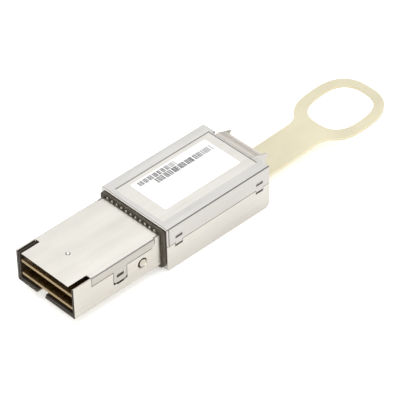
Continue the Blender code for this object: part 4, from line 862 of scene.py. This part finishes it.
def bar_tree(material):
    """Bars side by side along X, in groups, with uneven widths and shades; a row fades towards its end."""
    tree, given = new_tree(
        "printed_bars",
        Length=20 * MM,
        Height=2 * MM,
        Thickness=0.01 * MM,
        Group=5,
        Bar=0.2 * MM,
        Gap=0.2 * MM,
        Group_Gap=0.4 * MM,
        Darkest=0.0,
        Palest=0.5,
        Seed=4,
    )
    points = add_node(tree, "GeometryNodePoints", Count=BAR_LIMIT)
    index = add_node(tree, "GeometryNodeInputIndex")
    width = add_node(tree, RANDOM, FLOATS, Seed=given["Seed"], **BAR_SPREAD)
    wide = add_node(tree, MATH, TIMES, i0=width, i1=given["Bar"])
    seed = add_node(tree, MATH, PLUS, i0=given["Seed"], i1=1.0)
    loose = add_node(tree, RANDOM, FLOATS, Seed=seed, **GAP_SPREAD)
    apart = add_node(tree, MATH, TIMES, i0=loose, i1=given["Gap"])
    turn = add_node(tree, MATH, REMAINDER, i0=index, i1=given["Group"])
    opens = add_node(tree, MATH, BELOW, i0=turn, i1=0.5)
    extra = add_node(tree, MATH, TIMES_PLUS, i0=opens, i1=given["Group Gap"], i2=apart)
    step = add_node(tree, MATH, PLUS, i0=wide, i1=extra)
    sums = add_node(tree, "GeometryNodeAccumulateField", FLOATS, Value=step)
    centre = add_node(tree, MATH, TIMES_PLUS, i0=wide, i1=-0.5, i2=sums.outputs["Leading"])
    place = add_node(tree, XYZ, X=centre)
    laid = add_node(tree, "GeometryNodeSetPosition", Geometry=points, Position=place)
    beyond = add_node(tree, MATH, ABOVE, i0=centre, i1=given["Length"])
    cut = {"Geometry": laid, "Selection": beyond}
    kept = add_node(tree, "GeometryNodeDeleteGeometry", {"domain": "POINT"}, **cut)
    fade_start = add_node(tree, MATH, TIMES, i0=given["Length"], i1=FADE_START)
    span = {"From_Min": fade_start, "From_Max": given["Length"], "To_Max": FADE}
    fade = add_node(tree, "ShaderNodeMapRange", Value=centre, **span)
    ends = {"Min": given["Darkest"], "Max": given["Palest"]}
    chance = add_node(tree, RANDOM, FLOATS, Seed=given["Seed"], **ends)
    shade = add_node(tree, MATH, PLUS, i0=chance, i1=fade)
    bar = add_node(tree, "GeometryNodeMeshCube", Size=(1.0, 1.0, 1.0))
    size = add_node(tree, XYZ, X=wide, Y=given["Height"], Z=given["Thickness"])
    on_points = FLOATS | {"domain": "POINT"}
    kept = add_node(tree, STORE, on_points, Geometry=kept, Name="bar_shade", Value=shade)
    row = add_node(tree, ON_POINTS, Points=kept, Instance=bar, Scale=size)
    read = add_node(tree, "GeometryNodeInputNamedAttribute", FLOATS, Name="bar_shade")
    on_bars = FLOATS | {"domain": "INSTANCE"}
    shaded = add_node(tree, STORE, on_bars, Geometry=row, Name="shade", Value=read)
    real = add_node(tree, "GeometryNodeRealizeInstances", Geometry=shaded)
    return close_tree(tree, given, real, material)


# Cards and electronics


class TRANSCEIVER_contacts(bpy.types.PropertyGroup):
    count: IntProperty(name="Contacts", description="Contact pads in one row", default=21)
    pitch: FloatProperty(
        name="Pitch", description="From one pad to the next", default=0.8 * MM, unit="LENGTH"
    )
    width: FloatProperty(name="Width", description="Width of a pad", default=0.54 * MM, unit="LENGTH")
    length: FloatProperty(
        name="Length", description="Length of a signal pad", default=2.6 * MM, unit="LENGTH"
    )
    ahead: FloatProperty(
        name="Ground pads ahead",
        description="How far every third pad, a ground, runs ahead",
        default=0.5 * MM,
        unit="LENGTH",
    )


class TRANSCEIVER_OT_cards(bpy.types.Operator):
    """The two paddle cards with their gold contact pads"""

    bl_idname = "transceiver.cards"
    bl_label = "Paddle cards"

    def execute(self, context):
        sizes = context.scene.transceiver_contacts
        starts = []
        edge = context.scene.transceiver_edges.card
        for node in ("lower_paddle_card", "upper_paddle_card"):
            refined(node, edge, [made_of("mask"), made_of("laminate")], pick=cut_edge)
            low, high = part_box(node)
            rear = low.x + CONTACT_INSET + sizes.length + sizes.ahead
            starts += [(rear, -half_row(sizes), z) for z in (low.z, high.z)]
        pads = grow(contact_tree(made_of("gold")), "contact_pads", starts, by_input(sizes))
        mounted(pads, "upper_paddle_card")
        return {"FINISHED"}


def cut_edge(face):
    """Material number 1 for a card's cut edges."""
    return 1 if abs(face.normal.z) < 0.5 else 0


def contact_tree(material):
    """Rows of flat pads along Y that run forwards from each given point; every third one is longer."""
    tree, given = new_tree(
        "contact_rows",
        Count=21,
        Pitch=0.8 * MM,
        Width=0.54 * MM,
        Length=2.6 * MM,
        Ahead=0.5 * MM,
        Plating=0.07 * MM,
    )
    index = add_node(tree, "GeometryNodeInputIndex")
    turn = add_node(tree, MATH, REMAINDER, i0=index, i1=3.0)
    ground = add_node(tree, MATH, BELOW, i0=turn, i1=0.5)
    long = add_node(tree, MATH, TIMES_PLUS, i0=ground, i1=given["Ahead"], i2=given["Length"])
    size = add_node(tree, XYZ, X=long, Y=given["Width"], Z=given["Plating"])
    pad = add_node(tree, "GeometryNodeMeshCube", Size=(1.0, 1.0, 1.0))
    ahead = add_node(tree, "GeometryNodeTransform", Geometry=pad, Translation=(-0.5, 0.0, 0.0))
    return close_tree(tree, given, row_of(tree, given, ahead, Scale=size), material)


class TRANSCEIVER_OT_electronics(bpy.types.Operator):
    """What sits on the cards: chips, lens blocks, fibre ribbons, spacer, link and thermal pad"""

    bl_idname = "transceiver.electronics"
    bl_label = "Electronics"

    def execute(self, context):
        edge = context.scene.transceiver_edges.moulded
        for node in ("tx_driver_chip", "rx_receiver_chip", "controller_chip"):
            refined(node, edge, [made_of("epoxy")])
        for node in ("tx_lens_block", "rx_lens_block"):
            refined(node, edge, [made_of("lens")])
        for node in ("tx_fibre_ribbon", "rx_fibre_ribbon"):
            refined(node, edge, [made_of("ribbon")])
        for node in ("card_spacer", "board_link"):
            refined(node, edge, [made_of("nylon")])
        refined("thermal_pad", 3 * edge, [made_of("pad")], segments=3)
        return {"FINISHED"}


# Latch


class TRANSCEIVER_OT_latch(bpy.types.Operator):
    """The latch: yoke, two side teeth and the return springs"""

    bl_idname = "transceiver.latch"
    bl_label = "Latch"

    def execute(self, context):
        edge = context.scene.transceiver_edges.sheet
        refined("latch_yoke", edge, [made_of("latch")])
        for side in SIDES:
            refined("latch_tooth_" + side, 4 * edge, [made_of("tooth")], segments=3)
            make_spring("return_spring_" + side)
        return {"FINISHED"}


def make_spring(node):
    """A return spring: a smooth copy of the node's mesh that rides with the node."""
    coil = mounted(finished(merged_copy(node), node + "_finish", [made_of("spring")]), node)
    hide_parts(node)
    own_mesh(coil)


# Pull tab


class TRANSCEIVER_OT_pull_tab(bpy.types.Operator):
    """The ivory pull tab with its finger ring, and the two rivets that hold it"""

    bl_idname = "transceiver.pull_tab"
    bl_label = "Pull tab"

    def execute(self, context):
        edges = context.scene.transceiver_edges
        refined("pull_tab", edges.tab, [made_of("ivory")], segments=4)
        for side in SIDES:
            refined("strap_rivet_" + side, 2 * edges.sheet, [made_of("rivet")], segments=3)
        return {"FINISHED"}


# Fibre port


class TRANSCEIVER_fibres(bpy.types.PropertyGroup):
    count: IntProperty(name="Fibres", description="Fibre ends in one row", default=12)
    pitch: FloatProperty(
        name="Pitch", description="From one fibre to the next", default=0.25 * MM, unit="LENGTH"
    )
    radius: FloatProperty(
        name="Radius", description="Radius of a fibre end as drawn", default=0.08 * MM, unit="LENGTH"
    )


class TRANSCEIVER_OT_port(bpy.types.Operator):
    """The fibre port: shroud, socket housing, ferrule with its fibre ends, and guide pins"""

    bl_idname = "transceiver.port"
    bl_label = "Fibre port"

    def execute(self, context):
        edges = context.scene.transceiver_edges
        sizes = context.scene.transceiver_fibres
        refined("port_shroud", edges.sheet, [made_of("shroud"), made_of("body_flange")], pick=on_the_side)
        refined("port_housing", edges.moulded, [made_of("port")])
        refined("mt_ferrule", edges.moulded, [made_of("ferrule")])
        for side in SIDES:
            refined("guide_pin_" + side, edges.moulded, [made_of("pin")], segments=3)
        low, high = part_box("mt_ferrule")
        middle = (low.z + high.z) / 2
        starts = [(high.x, -half_row(sizes), middle + level) for level in (-sizes.pitch, sizes.pitch)]
        ends = grow(fibre_tree(made_of("glass")), "fibre_ends", starts, by_input(sizes))
        mounted(ends, "mt_ferrule")
        return {"FINISHED"}


def fibre_tree(material):
    """A row of short polished stubs along Y, facing +X, from each given point."""
    tree, given = new_tree(
        "fibre_rows",
        Count=12,
        Pitch=0.25 * MM,
        Radius=0.08 * MM,
        Stub=0.03 * MM,
    )
    sizes = {"Vertices": 12, "Radius": given["Radius"], "Depth": given["Stub"]}
    stub = add_node(tree, "GeometryNodeMeshCylinder", **sizes)
    lying = (0.0, math.pi / 2, 0.0)
    return close_tree(tree, given, row_of(tree, given, stub, Rotation=lying), material)


# Stage


class TRANSCEIVER_stage(bpy.types.PropertyGroup):
    azimuth: FloatProperty(
        name="Azimuth",
        description="Camera's turn about the vertical",
        default=math.radians(-42.66),
        subtype="ANGLE",
    )
    elevation: FloatProperty(
        name="Elevation",
        description="Camera's height above the horizon",
        default=math.radians(40.26),
        subtype="ANGLE",
    )
    roll: FloatProperty(
        name="Roll",
        description="Camera's turn about its own axis",
        default=math.radians(-1.57),
        subtype="ANGLE",
    )
    distance: FloatProperty(
        name="Distance", description="From the camera to its target", default=0.7108, unit="LENGTH"
    )
    lens: FloatProperty(name="Lens", description="Focal length in mm on a 36 mm sensor", default=242.7)
    target: FloatVectorProperty(
        name="Target", description="Middle of the view", default=(-0.0088, -0.0037, 0.007), unit="LENGTH"
    )


class TRANSCEIVER_OT_stage(bpy.types.Operator):
    """Camera, pale floor and soft studio lights"""

    bl_idname = "transceiver.stage"
    bl_label = "Stage"

    def execute(self, context):
        sizes = context.scene.transceiver_stage
        make_camera(context, sizes)
        make_floor()
        make_lights(context)
        return {"FINISHED"}


def make_camera(context, sizes):
    """A long lens that looks down on the nose from the front right."""
    right = Vector((math.cos(sizes.azimuth), math.sin(sizes.azimuth), 0.0))
    level = Vector((math.sin(sizes.azimuth), -math.cos(sizes.azimuth), 0.0))
    back = level * math.cos(sizes.elevation) + Vector((0.0, 0.0, math.sin(sizes.elevation)))
    turn = Matrix((right, back.cross(right), back)).transposed().to_4x4()
    data = bpy.data.cameras.new("camera")
    data.lens = sizes.lens
    data.clip_start = 0.01
    data.clip_end = 10.0
    camera = bpy.data.objects.new("camera", data)
    place = Matrix.Translation(Vector(sizes.target) + back * sizes.distance)
    camera.matrix_world = place @ turn @ Matrix.Rotation(sizes.roll, 4, "Z")
    context.scene.collection.objects.link(camera)
    context.scene.camera = camera


def make_floor():
    """White paper that glows a little, so that shadows on it stay faint."""
    bm = bmesh.new()
    bmesh.ops.create_grid(bm, x_segments=1, y_segments=1, size=FLOOR_REACH)
    mesh = bpy.data.meshes.new("floor")
    bm.to_mesh(mesh)
    bm.free()
    glow = {"Emission_Color": rgba("FFFFFF"), "Emission_Strength": 0.32}
    paper = principled("white_studio_paper", Base_Color=rgba("FCFCFC"), Roughness=0.9, **glow)[0]
    mesh.materials.append(paper)
    floor = bpy.data.objects.new("floor", mesh)
    bpy.context.scene.collection.objects.link(floor)


def add_softbox(name, place, size, power, code):
    """A rectangular lamp of some watts that looks at the module, with its colour as a hex code."""
    data = bpy.data.lights.new(name, "AREA")
    data.shape = "RECTANGLE"
    data.size, data.size_y = size
    data.energy = power
    data.color = rgba(code)[:3]
    light = bpy.data.objects.new(name, data)
    light.location = place
    light.rotation_euler = (-Vector(place)).to_track_quat("-Z", "Y").to_euler()
    bpy.context.scene.collection.objects.link(light)


def make_lights(context):
    """A white sky that darkens towards the horizon, a large lamp overhead and a warmer one in front."""
    world = bpy.data.worlds.new("studio")
    world.use_nodes = True
    tree = world.node_tree
    background = tree.nodes["Background"]
    background.inputs["Color"].default_value = rgba("FFFFFF")
    sky = add_node(tree, "ShaderNodeTexCoord")
    height = add_node(tree, "ShaderNodeSeparateXYZ", Vector=sky.outputs["Generated"])
    # Strength by the sine of the height above the horizon.
    span = {"From_Min": 0.1, "From_Max": 0.6, "To_Min": 0.15, "To_Max": 0.85}
    level = add_node(tree, "ShaderNodeMapRange", Value=height.outputs["Z"], **span)
    tree.links.new(first(level), background.inputs["Strength"])
    context.scene.world = world
    context.scene.view_settings.view_transform = "Standard"
    add_softbox("overhead_softbox", (0.05, 0.15, 0.9), (0.9, 0.9), 4.0, "FFFFFF")
    add_softbox("front_softbox", (-0.5, -0.9, 0.35), (0.8, 0.5), 4.0, "FFF9EC")


# Panel and registration


OPERATORS = (
    TRANSCEIVER_OT_stage,
    TRANSCEIVER_OT_nose,
    TRANSCEIVER_OT_body,
    TRANSCEIVER_OT_gasket,
    TRANSCEIVER_OT_label,
    TRANSCEIVER_OT_cards,
    TRANSCEIVER_OT_electronics,
    TRANSCEIVER_OT_latch,
    TRANSCEIVER_OT_pull_tab,
    TRANSCEIVER_OT_port,
)
GROUPS = {
    "transceiver_stage": TRANSCEIVER_stage,
    "transceiver_colours": TRANSCEIVER_colours,
    "transceiver_edges": TRANSCEIVER_edges,
    "transceiver_gasket": TRANSCEIVER_gasket,
    "transceiver_label": TRANSCEIVER_label,
    "transceiver_contacts": TRANSCEIVER_contacts,
    "transceiver_fibres": TRANSCEIVER_fibres,
}


class TRANSCEIVER_PT_panel(bpy.types.Panel):
    """Buttons for the pieces and the stage, and their sizes and colours"""

    bl_label = "Optical transceiver"
    bl_idname = "TRANSCEIVER_PT_panel"
    bl_space_type = "VIEW_3D"
    bl_region_type = "UI"
    bl_category = "Transceiver"

    def draw(self, context):
        for operator in OPERATORS:
            self.layout.operator(operator.bl_idname)
        for name, group in GROUPS.items():
            box = self.layout.box()
            for key in group.__annotations__:
                box.prop(getattr(context.scene, name), key)


def register():
    for group in GROUPS.values():
        bpy.utils.register_class(group)
    for name, group in GROUPS.items():
        setattr(bpy.types.Scene, name, PointerProperty(type=group))
    for operator in OPERATORS:
        bpy.utils.register_class(operator)
    bpy.utils.register_class(TRANSCEIVER_PT_panel)


def unregister():
    bpy.utils.unregister_class(TRANSCEIVER_PT_panel)
    for operator in reversed(OPERATORS):
        bpy.utils.unregister_class(operator)
    for name, group in GROUPS.items():
        delattr(bpy.types.Scene, name)
        bpy.utils.unregister_class(group)


def main():
    register()
    for operator in OPERATORS:
        group, name = operator.bl_idname.split(".")
        getattr(getattr(bpy.ops, group), name)()


if __name__ == "__main__":
    main()
